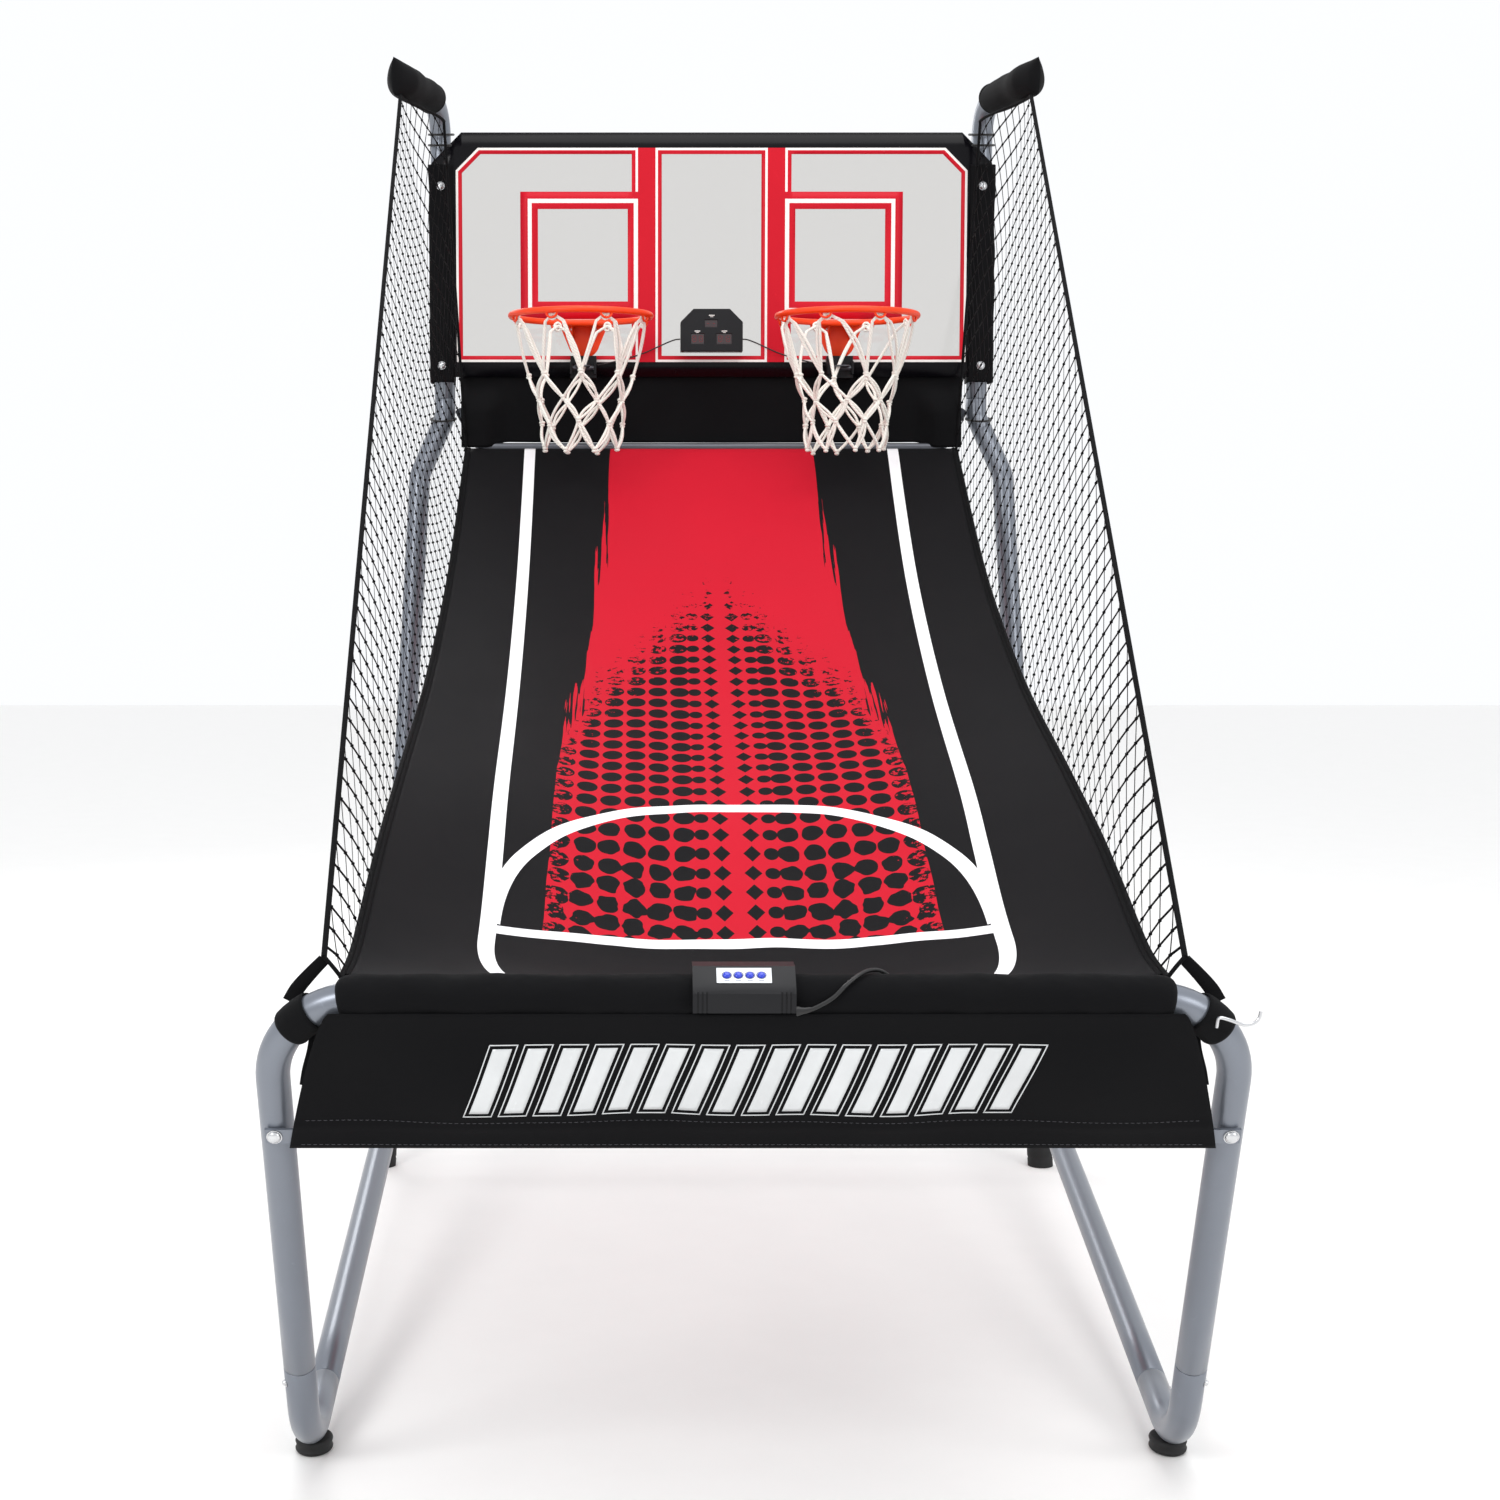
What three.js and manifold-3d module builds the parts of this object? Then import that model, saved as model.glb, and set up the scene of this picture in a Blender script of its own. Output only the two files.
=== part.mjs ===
// Two-player basketball hoop machine with a folding frame.
// Millimetres, +X to the player's right, +Y away from the player, +Z up.
// The origin lies on the floor under the middle of the machine.
import * as THREE from 'three';
import { mergeVertices } from 'three/addons/utils/BufferGeometryUtils.js';
import Module from 'manifold-3d';

const wasm = await Module();
wasm.setup();

// ---------------------------------------------------------------- driving dimensions

const FRONT_Y = -989;            // the front bar's centre line; every y below is measured from it
const GAP = 0.3;                 // clearance between pieces that touch

// Frame tube
const TUBE_R = 20;
const WALL = 1.8;
const TUBE_SIDES = 12;
const BORE_SIDES = 8;
const SWAGE_R = 16.3;            // reduced end that slides into the next tube's bore
const SWAGE_LENGTH = 50;
const BOLT_R = 3.5;
const BOLT_HOLE = 4;

// Front frame: a U-shaped tube, two floor elbows and two side rails
const BAR_Z = 670;
const BAR_HALF = 556;            // corner of the bar and the leg
const BAR_BEND = 115;
const FLOOR_CORNER = [560, 296, 22];
const ELBOW_BEND = 110;
const ELBOW_LEG = 150;           // corner of the elbow to its leg end
const ELBOW_RAIL = 170;          // corner of the elbow to its rail end
const PAD = { length: 64, width: 46, height: 20 };

// Fold pivot, between the side rails and the rear legs
const PIVOT = [570, 1808, 300];
const RAIL_TAIL = 34;            // rail beyond the pivot
const PIVOT_BOLT_R = 4;

// Rear frame: straight splayed legs, a swan neck, and poles that bend forward at the top
const REAR_FOOT = [630, 1774, 6];
const LEG_SHOULDER = [564, 1926, 1320];
const POLE_FOOT = [519, 1985, 1436];
const LEG_END_Z = 1470;
const LEG_BEND = 40;
const POLE_TOP = [525, 1985, 2036];
const POLE_TIP = [578, 1678, 2026];
const POLE_BEND = 62;
const CROSSBAR = { z: 140, radius: 12.5, wall: 1.5 };
const REAR_RAIL = { y: 1950, z: 1374, half: 452, radius: 9, wall: 1.2, bend: 30 };

// Backboard
const BOARD = { half: 540, bottom: 1510, top: 1976, front: 1955, thickness: 4, chamfer: 58 };
const BOARD_BOLT_X = 522;
const BOARD_BOLT_Z = { lower: 1532, upper: 1874 };
const COVER = { half: 25, cloth: 1.6, front: 1950, back: 2010, bottom: 1500, top: 1915 };
const BACK_CLOTH = { half: 446, bottom: 1387, top: 1530, y: 1962, thickness: 1.6 };

// Hoops
const HOOP = { x: 247, y: 1760, z: 1608, radius: 129, rod: 6 };
const NET = { drop: 250, topR: 119, bottomR: 78, cloth: 3 };
const SHIELD = { top: 37, bottom: 21, height: 66, thickness: 3 };
const SENSOR = { width: 50, depth: 36, top: 1548, bottom: 1506 };
const LEVER = { y: 1908, z: 1524, reach: 66, width: 30, thickness: 2.4, hub: 4.5 };

// Score display
const SCORER = {
  width: 120, bottom: 1557, top: 1638, chamfer: 25, wall: 2.5, frontDepth: 22, backDepth: 9,
};
const SCORER_WINDOWS = [[25, 19, -27, 1581], [29, 19, 24, 1581], [24, 13, -1, 1610]];  // width, height, x, z

// Cloths, all plain here
const RAMP = { half: 470, start: 44, end: 1936, cloth: 2.4 };
const ROLL = { half: 440, radius: 28 };
const APRON = { top: 430, bottom: 540, cloth: 2, flare: 1.6 };
const APRON_BAR = { half: 568, z: 506, height: 20, thickness: 4 };
const HOOD = { across: 58, below: 1992 };
const SIDE_NET = { cloth: 3, start: 30, frontX: 492, tipX: 568, poleX: 512, rise: 42 };

// Control box that sits on the padded front bar
const CONTROL = { x: -14, half: 58, saddle: 29, saddleArc: [200, -5], coverArc: [198, -3] };
const BUTTON = { radius: 4.6, spacing: 13 };

// ---------------------------------------------------------------- finishes

const finish = (color, roughness, metalness) =>
  new THREE.MeshStandardMaterial({ color, roughness, metalness });
const SILVER = finish('#7c8186', 0.38, 0.75);
const STEEL = finish('#c8cacc', 0.28, 1);
const CLOTH = finish('#19181c', 0.85, 0);
const RAMP_CLOTH = finish('#3a1a1e', 0.8, 0);
const MESH = finish('#1c1c20', 0.8, 0);
const NET_CORD = finish('#efece4', 0.8, 0);
const RUBBER = finish('#151515', 0.75, 0);
const BLACK_PLASTIC = finish('#1b1b20', 0.45, 0);
const CLEAR = finish('#d8dadb', 0.12, 0);
const ORANGE = finish('#ee5a26', 0.4, 0.2);
const RED_LENS = finish('#4a1420', 0.15, 0);
const GREEN_BOARD = finish('#1d5b36', 0.6, 0);
const BUTTON_BLUE = finish('#2a55c8', 0.35, 0);
const LABEL_WHITE = finish('#e6e8ea', 0.5, 0);

// ---------------------------------------------------------------- helpers

const SIDES = [['left', -1], ['right', 1]];
const at = (x, y, z) => new THREE.Vector3(x, y + FRONT_Y, z);
const mirrored = ([x, y, z], side) => at(x * side, y, z);
const UP = new THREE.Vector3(0, 1, 0);

// A path through given stations, so that straight runs take one step and bends take several.
class Stations extends THREE.Curve {
  constructor(points) {
    super();
    this.points = points;
  }
  getPoint(t) {
    const place = t * (this.points.length - 1);
    const i = Math.min(Math.floor(place), this.points.length - 2);
    return this.points[i].clone().lerp(this.points[i + 1], place - i);
  }
  getPointAt(u) {
    return this.getPoint(u);
  }
  getTangentAt(u) {
    const i = Math.round(u * (this.points.length - 1));
    const before = this.points[Math.max(i - 1, 0)];
    const here = this.points[i];
    const after = this.points[Math.min(i + 1, this.points.length - 1)];
    const arriving = here.clone().sub(before).normalize();
    const leaving = after.clone().sub(here).normalize();
    return arriving.add(leaving).normalize();
  }
}

// Straight runs between corners, each corner rounded to its bend radius.
function bentPath(corners, bend, arcSteps = 6) {
  const points = [corners[0]];
  for (let i = 1; i < corners.length - 1; i += 1) {
    const corner = corners[i];
    const back = corners[i - 1].clone().sub(corner).normalize();
    const on = corners[i + 1].clone().sub(corner).normalize();
    const half = back.angleTo(on) / 2;
    const start = corner.clone().addScaledVector(back, bend / Math.tan(half));
    const end = corner.clone().addScaledVector(on, bend / Math.tan(half));
    const middle = back.clone().add(on).normalize();
    const centre = corner.clone().addScaledVector(middle, bend / Math.sin(half));
    const spoke = start.clone().sub(centre);
    const lastSpoke = end.clone().sub(centre);
    const axis = spoke.clone().cross(lastSpoke).normalize();
    const turn = spoke.angleTo(lastSpoke);
    for (let k = 0; k <= arcSteps; k += 1) {
      points.push(spoke.clone().applyAxisAngle(axis, (turn * k) / arcSteps).add(centre));
    }
  }
  points.push(corners[corners.length - 1]);
  return points;
}

// The part of a path between two distances from its start.
function stretch(points, from, to) {
  const kept = [];
  let travelled = 0;
  for (let i = 0; i < points.length - 1; i += 1) {
    const length = points[i].distanceTo(points[i + 1]);
    const along = (distance) => points[i].clone().lerp(points[i + 1], (distance - travelled) / length);
    if (kept.length === 0 && from < travelled + length) {
      kept.push(along(from));
    }
    if (kept.length > 0 && to <= travelled + length) {
      kept.push(along(to));
      return kept;
    }
    if (kept.length > 0 && points[i + 1].distanceTo(kept[kept.length - 1]) > 1) {
      kept.push(points[i + 1]);
    }
    travelled += length;
  }
  return kept;
}

function polygon(radius, sides, make = THREE.Shape) {
  const corners = [];
  for (let i = 0; i < sides; i += 1) {
    const angle = (2 * Math.PI * i) / sides;
    corners.push(new THREE.Vector2(radius * Math.cos(angle), radius * Math.sin(angle)));
  }
  return new make(corners);
}

function sweep(points, outline) {
  return new THREE.ExtrudeGeometry(outline, {
    steps: points.length - 1,
    extrudePath: new Stations(points),
    bevelEnabled: false,
  });
}

const rod = (points, radius, sides = 10) => sweep(points, polygon(radius, sides));

function tube(points, radius = TUBE_R, wall = WALL, sides = TUBE_SIDES) {
  const outline = polygon(radius, sides);
  outline.holes.push(polygon(radius - wall, BORE_SIDES, THREE.Path));
  return sweep(points, outline);
}

// An outline in x and z, made thick towards -Y from the plane y.
function plate(outline, y, thickness) {
  return new THREE.ExtrudeGeometry(outline, { depth: thickness, bevelEnabled: false, curveSegments: 5 })
    .rotateX(Math.PI / 2)
    .translate(0, y + FRONT_Y, 0);
}

// An outline in y and z, made thick along X and centred on x.
function crossSection(outline, x, width) {
  return new THREE.ExtrudeGeometry(outline, { depth: width, bevelEnabled: false, curveSegments: 10 })
    .translate(0, 0, -width / 2)
    .applyMatrix4(new THREE.Matrix4().makeBasis(
      new THREE.Vector3(0, 1, 0), new THREE.Vector3(0, 0, 1), new THREE.Vector3(1, 0, 0)))
    .translate(x, FRONT_Y, 0);
}

const outlineOf = (...corners) => new THREE.Shape(corners.map(([x, y]) => new THREE.Vector2(x, y)));

const block = (width, depth, height, x, y, z) =>
  new THREE.BoxGeometry(width, depth, height).translate(x, y + FRONT_Y, z);

function turned(profile, segments, place, direction) {
  const points = profile.map(([x, y]) => new THREE.Vector2(x, y));
  const turn = new THREE.Quaternion().setFromUnitVectors(UP, direction.clone().normalize());
  return new THREE.LatheGeometry(points, segments)
    .applyQuaternion(turn)
    .translate(place.x, place.y, place.z);
}

const pin = (place, direction, radius, length, sides = 12) =>
  turned([[0, -length / 2], [radius, -length / 2], [radius, length / 2], [0, length / 2]],
    sides, place, direction);

// A domed bolt: the underside of its head at place, its shank and nut against the head's direction.
function bolt(place, direction, radius, length) {
  const head = radius * 2.1;
  return turned([
    [0, -length], [radius * 1.7, -length], [radius * 1.7, -length + radius * 1.4],
    [radius, -length + radius * 1.4], [radius, 0], [head, 0], [head, radius * 0.3],
    [head * 0.72, radius * 0.85], [0, radius * 1.15],
  ], 8, place, direction);
}

function solidOf(geometry) {
  const bare = geometry.clone();
  bare.deleteAttribute('normal');
  bare.deleteAttribute('uv');
  const merged = mergeVertices(bare, 1e-3);
  return new wasm.Manifold(new wasm.Mesh({
    numProp: 3,
    vertProperties: Float32Array.from(merged.attributes.position.array),
    triVerts: Uint32Array.from(merged.index.array),
  }));
}

function geometryOf(solid) {
  const mesh = solid.getMesh();
  const geometry = new THREE.BufferGeometry();
  geometry.setAttribute('position', new THREE.BufferAttribute(mesh.vertProperties, 3));
  geometry.setIndex(new THREE.BufferAttribute(mesh.triVerts, 1));
  geometry.computeVertexNormals();
  return geometry;
}

const cut = (body, ...tools) =>
  geometryOf(tools.reduce((rest, tool) => rest.subtract(solidOf(tool)), solidOf(body)));
const join = (body, ...others) =>
  geometryOf(others.reduce((whole, other) => whole.add(solidOf(other)), solidOf(body)));

// The reduced end of a tube, from inside its bore to beyond its end.
function swage(end, direction) {
  return turned([
    [14, -16], [TUBE_R - 1.3, -16], [TUBE_R - 1.3, -5], [SWAGE_R, -1],
    [SWAGE_R, SWAGE_LENGTH], [14, SWAGE_LENGTH], [14, -16],
  ], 10, end, direction);
}

// A thin sheet: a slab of one layer of cells whose points are moved to surface(u, v),
// with u and v from 0 to 1, and its other face offset by the thickness vector. Both faces
// are split along the same diagonals, so the sheet keeps its thickness where it twists.
function drape(columns, rows, surface, thickness) {
  const slab = new THREE.BoxGeometry(1, 1, 1, columns, rows, 1);
  const points = slab.attributes.position;
  for (let i = 0; i < points.count; i += 1) {
    const place = surface(points.getX(i) + 0.5, points.getY(i) + 0.5);
    if (points.getZ(i) > 0) {
      place.add(thickness);
    }
    points.setXYZ(i, place.x, place.y, place.z);
  }
  const backFace = slab.groups[5];
  const index = slab.index.array;
  for (let i = backFace.start; i < backFace.start + backFace.count; i += 6) {
    const [a, b, d, c] = [index[i], index[i + 1], index[i + 2], index[i + 4]];
    index.set([a, b, c, a, c, d], i);
  }
  return slab;
}

const smooth = (t) => t * t * (3 - 2 * t);
const mix = THREE.MathUtils.lerp;

// Height from a few hand-set knots [y, z], with rounded changes between them.
function profile(knots) {
  const curve = new THREE.CatmullRomCurve3(
    knots.map(([y, z]) => new THREE.Vector3(0, y, z)), false, 'centripetal');
  const samples = curve.getPoints(80);
  return (y) => {
    const next = samples.findIndex((point) => point.y >= y);
    if (next <= 0) {
      return samples[next === 0 ? 0 : samples.length - 1].z;
    }
    const before = samples[next - 1];
    const after = samples[next];
    return mix(before.z, after.z, (y - before.y) / (after.y - before.y));
  };
}

const machine = new THREE.Group();
const rearFrame = new THREE.Group();
const frontFrame = new THREE.Group();
machine.add(rearFrame, frontFrame);

function piece(group, name, geometry, material) {
  const mesh = new THREE.Mesh(geometry, material);
  mesh.name = name;
  group.add(mesh);
  return mesh;
}

// ---------------------------------------------------------------- rear frame

function rearLegPath(side) {
  const foot = mirrored(REAR_FOOT, side);
  const shoulder = mirrored(LEG_SHOULDER, side);
  const neck = mirrored(POLE_FOOT, side);
  const end = mirrored([POLE_FOOT[0], POLE_FOOT[1], LEG_END_Z], side);
  return bentPath([foot, shoulder, neck, end], LEG_BEND, 5);
}

const legDirection = (side) => mirrored(LEG_SHOULDER, side).sub(mirrored(REAR_FOOT, side)).normalize();

// The point of a rear leg's straight run at height z.
function onLeg(side, z) {
  const share = (z - REAR_FOOT[2]) / (LEG_SHOULDER[2] - REAR_FOOT[2]);
  return mirrored(REAR_FOOT, side).lerp(mirrored(LEG_SHOULDER, side), share);
}

function polePath(side) {
  const foot = mirrored([POLE_FOOT[0], POLE_FOOT[1], LEG_END_Z + GAP], side);
  return bentPath([foot, mirrored(POLE_TOP, side), mirrored(POLE_TIP, side)], POLE_BEND);
}

// The pole's centre line at height z, where it stands straight.
function onPole(side, z) {
  const share = (z - LEG_END_Z) / (POLE_TOP[2] - LEG_END_Z);
  return at(side * mix(POLE_FOOT[0], POLE_TOP[0], share), POLE_FOOT[1], z);
}

const ACROSS = new THREE.Vector3(1, 0, 0);
const TO_PLAYER = new THREE.Vector3(0, -1, 0);
const SKYWARD = new THREE.Vector3(0, 0, 1);

function rearLeg(side) {
  const path = rearLegPath(side);
  const pivot = onLeg(side, PIVOT[2]);
  const poleway = onPole(side, POLE_TOP[2]).sub(onPole(side, LEG_END_Z));
  const body = join(tube(path), swage(path[path.length - 1], poleway));
  return cut(body, pin(pivot, ACROSS, PIVOT_BOLT_R + 0.5, 60));
}

// A rubber cup on the leg's end, sawn level with the floor.
function rearFoot(side) {
  const cup = turned([
    [0, -14], [TUBE_R + 4, -14], [TUBE_R + 4, 30], [TUBE_R + 2.5, 38], [TUBE_R + GAP, 38],
    [TUBE_R + GAP, -GAP], [0, -GAP],
  ], 20, mirrored(REAR_FOOT, side), legDirection(side));
  return cut(cup, block(80, 80, 40, side * REAR_FOOT[0], REAR_FOOT[1], -20));
}

function pole(side) {
  const holes = Object.values(BOARD_BOLT_Z).map((z) =>
    pin(at(side * BOARD_BOLT_X, POLE_FOOT[1], z), TO_PLAYER, BOLT_HOLE, 60));
  return cut(tube(polePath(side)), ...holes);
}

// A cloth sleeve that wraps the pole and the board's edge, open where the board enters.
function poleCover(side) {
  const { half, cloth, front, back, bottom, top } = COVER;
  const slot = BOARD.front + BOARD.thickness + 1.5;
  const outline = outlineOf(
    [-half, front], [half, front], [half, back], [-half, back], [-half, slot],
    [-half + cloth, slot], [-half + cloth, back - cloth], [half - cloth, back - cloth],
    [half - cloth, front + cloth], [-half, front + cloth]);
  const sleeve = new THREE.ExtrudeGeometry(outline, { depth: top - bottom, bevelEnabled: false });
  sleeve.translate(0, FRONT_Y, bottom);
  if (side < 0) {
    sleeve.rotateZ(Math.PI).rotateX(Math.PI).translate(0, 0, top + bottom);
  }
  sleeve.translate(side * BOARD_BOLT_X, 0, 0);
  const holes = Object.values(BOARD_BOLT_Z).map((z) =>
    pin(at(side * BOARD_BOLT_X, POLE_FOOT[1], z), TO_PLAYER, BOLT_HOLE, 90));
  return cut(sleeve, ...holes);
}

// A cloth hood over the pole's bend and tip.
function hood(side) {
  const path = polePath(side);
  const length = new THREE.CurvePath();
  for (let i = 0; i < path.length - 1; i += 1) {
    length.add(new THREE.LineCurve3(path[i], path[i + 1]));
  }
  const total = length.getLength();
  const start = HOOD.below - LEG_END_Z;
  const tip = path[path.length - 1];
  const ahead = tip.clone().sub(path[path.length - 2]).normalize();
  const cloth = [...stretch(path, start, total - 1), tip.clone().addScaledVector(ahead, 9)];
  const bore = [...stretch(path, start - 20, total - 1), tip.clone().addScaledVector(ahead, 1.5)];
  return cut(rod(cloth, HOOD.across / 2, 10), rod(bore, TUBE_R + 0.8, TUBE_SIDES));
}

for (const [name, side] of SIDES) {
  piece(rearFrame, `rear_leg_${name}`, rearLeg(side), SILVER);
  piece(rearFrame, `rear_foot_${name}`, rearFoot(side), RUBBER);
  piece(rearFrame, `pole_${name}`, pole(side), SILVER);
  piece(rearFrame, `pole_cover_${name}`, poleCover(side), CLOTH);
  piece(rearFrame, `pole_hood_${name}`, hood(side), CLOTH);
  for (const [level, z] of Object.entries(BOARD_BOLT_Z)) {
    const head = at(side * BOARD_BOLT_X, COVER.front - GAP, z);
    piece(rearFrame, `board_bolt_${level}_${name}`,
      bolt(head, TO_PLAYER, BOLT_R, COVER.back - COVER.front + 8), STEEL);
  }
}

function crossbar() {
  const ends = [-1, 1].map((side) => {
    const place = onLeg(side, CROSSBAR.z);
    place.x -= side * (TUBE_R + 0.8);
    return place;
  });
  return tube(ends, CROSSBAR.radius, CROSSBAR.wall);
}
piece(rearFrame, 'rear_crossbar', crossbar(), SILVER);

function rearRail() {
  const { y, z, half, radius, wall, bend } = REAR_RAIL;
  const end = (side) => at(side * (POLE_FOOT[0] - TUBE_R - 8), POLE_FOOT[1] - 4, z + 74);
  const corners = [end(-1), at(-half, y, z), at(half, y, z), end(1)];
  return tube(bentPath(corners, bend, 4), radius, wall);
}
piece(rearFrame, 'rear_rail', rearRail(), SILVER);

// ---------------------------------------------------------------- backboard

function backboard() {
  const { half, bottom, top, front, thickness, chamfer } = BOARD;
  const outline = outlineOf(
    [-half, bottom], [half, bottom], [half, top - chamfer], [half - chamfer, top],
    [-half + chamfer, top], [-half, top - chamfer]);
  for (const [, side] of SIDES) {
    for (const z of Object.values(BOARD_BOLT_Z)) {
      const hole = new THREE.Path();
      hole.absarc(side * BOARD_BOLT_X, z, BOLT_HOLE, 0, 2 * Math.PI);
      outline.holes.push(hole);
    }
  }
  return plate(outline, front + thickness, thickness);
}
piece(rearFrame, 'backboard', backboard(), CLEAR);

const clothBand = BACK_CLOTH.top - BACK_CLOTH.bottom;
piece(rearFrame, 'back_cloth',
  block(2 * BACK_CLOTH.half, BACK_CLOTH.thickness, clothBand,
    0, BACK_CLOTH.y, BACK_CLOTH.bottom + clothBand / 2),
  CLOTH);

// ---------------------------------------------------------------- hoops

// The ring, its tongue, two gussets and the shield-shaped plate are one weldment.
function rim(side) {
  const { x, y, z, radius, rod: rodR } = HOOP;
  const wallY = BOARD.front - GAP;
  const ring = new THREE.TorusGeometry(radius, rodR, 8, 32).translate(side * x, y + FRONT_Y, z);
  const shield = new THREE.Shape();
  const low = z + 8 - SHIELD.height;
  shield.moveTo(-SHIELD.top, z + 8);
  shield.lineTo(-SHIELD.bottom, low + 16);
  shield.quadraticCurveTo(-SHIELD.bottom, low, 0, low);
  shield.quadraticCurveTo(SHIELD.bottom, low, SHIELD.bottom, low + 16);
  shield.lineTo(SHIELD.top, z + 8);
  const plateBody = plate(shield, wallY, SHIELD.thickness).translate(side * x, 0, 0);
  const nearRing = y + radius - 1;
  const tongue = new THREE.ExtrudeGeometry(
    outlineOf([-24, nearRing], [24, nearRing], [34, wallY - 1], [-34, wallY - 1]),
    { depth: 4, bevelEnabled: false }).translate(side * x, FRONT_Y, z - 1);
  const rib = outlineOf([nearRing + 10, z + 1], [wallY - 1, z + 1], [wallY - 1, z - 30]);
  const gussets = [-22, 19].map((offset) => crossSection(rib, side * x + offset + 1.5, 3));
  return join(ring, plateBody, tongue, ...gussets);
}

// The hanging net as a plain tapered sleeve, open at both ends, slit behind for the sensor lever.
function hoopNet(side) {
  const { x, y, z, rod: rodR } = HOOP;
  const high = -rodR - 1;
  const sleeve = turned([
    [NET.bottomR, -NET.drop], [(NET.topR + NET.bottomR) / 2 - 4, -NET.drop / 2], [NET.topR, high],
    [NET.topR - NET.cloth, high], [(NET.topR + NET.bottomR) / 2 - 4 - NET.cloth, -NET.drop / 2],
    [NET.bottomR - NET.cloth, -NET.drop], [NET.bottomR, -NET.drop],
  ], 16, at(side * x, y, z), SKYWARD);
  return cut(sleeve, block(LEVER.width + 14, 80, 90, side * x, y + NET.topR - 10, LEVER.z - 5));
}

// The switch block under each hoop, with two ears that carry the lever's pin.
function sensorHousing(side) {
  const { width, depth, top, bottom } = SENSOR;
  const back = BOARD.front - GAP;
  const body = block(width, depth, top - bottom, side * HOOP.x, back - depth / 2, (top + bottom) / 2);
  const ears = [-1, 1].map((end) =>
    block(4, 24, 24, side * HOOP.x + end * (width / 2 - 2), LEVER.y + 4, LEVER.z));
  const bore = pin(at(side * HOOP.x, LEVER.y, LEVER.z), ACROSS, LEVER.hub - 1.5, width + 10, 12);
  return cut(join(body, ...ears), bore);
}

// The paddle that a falling ball pushes down, with its pin.
function sensorLever(side) {
  const { y, z, reach, width, thickness, hub } = LEVER;
  const half = width / 2;
  const paddle = new THREE.Shape();
  paddle.moveTo(-half + 5, y);
  paddle.lineTo(-half, y - reach + half);
  paddle.absarc(0, y - reach + half, half, Math.PI, 2 * Math.PI);
  paddle.lineTo(half - 5, y);
  const blade = new THREE.ExtrudeGeometry(paddle, { depth: thickness, bevelEnabled: false, curveSegments: 7 })
    .translate(0, FRONT_Y, z - thickness / 2);
  const barrel = pin(at(0, y, z), ACROSS, hub, SENSOR.width - 9, 12);
  const axle = pin(at(0, y, z), ACROSS, hub - 2, SENSOR.width - 1, 12);
  return join(blade, barrel, axle).translate(side * HOOP.x, 0, 0);
}

for (const [name, side] of SIDES) {
  piece(rearFrame, `rim_${name}`, rim(side), ORANGE);
  piece(rearFrame, `hoop_net_${name}`, hoopNet(side), NET_CORD);
  piece(rearFrame, `sensor_housing_${name}`, sensorHousing(side), BLACK_PLASTIC);
  piece(rearFrame, `sensor_lever_${name}`, sensorLever(side), STEEL);
}

// ---------------------------------------------------------------- score display

function scorerOutline(inset, make = THREE.Shape) {
  const { width, bottom, top, chamfer } = SCORER;
  const half = width / 2 - inset;
  const rise = chamfer - inset * 0.4;
  const corners = [
    [-half, bottom + inset], [half, bottom + inset], [half, top - inset - rise],
    [half - rise, top - inset], [-half + rise, top - inset], [-half, top - inset - rise],
  ];
  return new make(corners.map(([x, z]) => new THREE.Vector2(x, z)));
}

const scorerBackY = BOARD.front - GAP;
const scorerSeamY = scorerBackY - SCORER.backDepth;
const scorerFaceY = scorerSeamY - GAP - SCORER.frontDepth;

function scorerFront() {
  const shell = cut(
    plate(scorerOutline(0), scorerSeamY - GAP, SCORER.frontDepth),
    plate(scorerOutline(SCORER.wall), scorerSeamY + 1, SCORER.frontDepth - SCORER.wall + 1));
  const windows = SCORER_WINDOWS.map(([width, height, x, z]) => block(width, 10, height, x, scorerFaceY, z));
  return cut(shell, ...windows);
}

function scorerBack() {
  const tray = plate(scorerOutline(0), scorerBackY, SCORER.backDepth);
  const lip = plate(scorerOutline(SCORER.wall + 0.6), scorerBackY - 3, SCORER.backDepth);
  const hollow = plate(scorerOutline(SCORER.wall + 2.6), scorerBackY - SCORER.wall, SCORER.backDepth + 2);
  return cut(join(tray, lip), hollow);
}

const lensY = scorerFaceY + SCORER.wall + 0.4;
const windowGlass = scorerOutline(SCORER.wall + 4);
piece(rearFrame, 'scorer_front', scorerFront(), BLACK_PLASTIC);
piece(rearFrame, 'scorer_back', scorerBack(), BLACK_PLASTIC);
piece(rearFrame, 'scorer_lens', plate(windowGlass, lensY + 1.5, 1.5), RED_LENS);
piece(rearFrame, 'scorer_circuit_board', plate(windowGlass, lensY + 10, 1.6), GREEN_BOARD);

// Thin leads from the display to the two switch blocks, lying along the board.
const WIRE_R = 1.3;
const WIRE_ROUTE = [
  [60.6, 1946, 1582], [70, 1945.6, 1581], [84, 1946.5, 1576], [92.8, 1947.3, 1572.2], [102, 1948, 1568],
  [111.9, 1948.4, 1563.5], [122, 1948.6, 1559], [132.9, 1948.7, 1554.8], [144, 1948.8, 1551],
  [155, 1948.8, 1547.6], [166, 1948.8, 1544.5], [186, 1948.5, 1539.5], [204, 1947.5, 1535.5],
  [214, 1946.5, 1533.5], [221.4, 1946, 1532.5],
];
for (const [name, side] of SIDES) {
  const route = new THREE.CatmullRomCurve3(
    WIRE_ROUTE.map((place) => mirrored(place, side)), false, 'centripetal');
  piece(rearFrame, `sensor_wire_${name}`, new THREE.ExtrudeGeometry(polygon(WIRE_R, 8), {
    steps: 14, extrudePath: route, bevelEnabled: false }), RUBBER);
}

// ---------------------------------------------------------------- front frame

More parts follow.
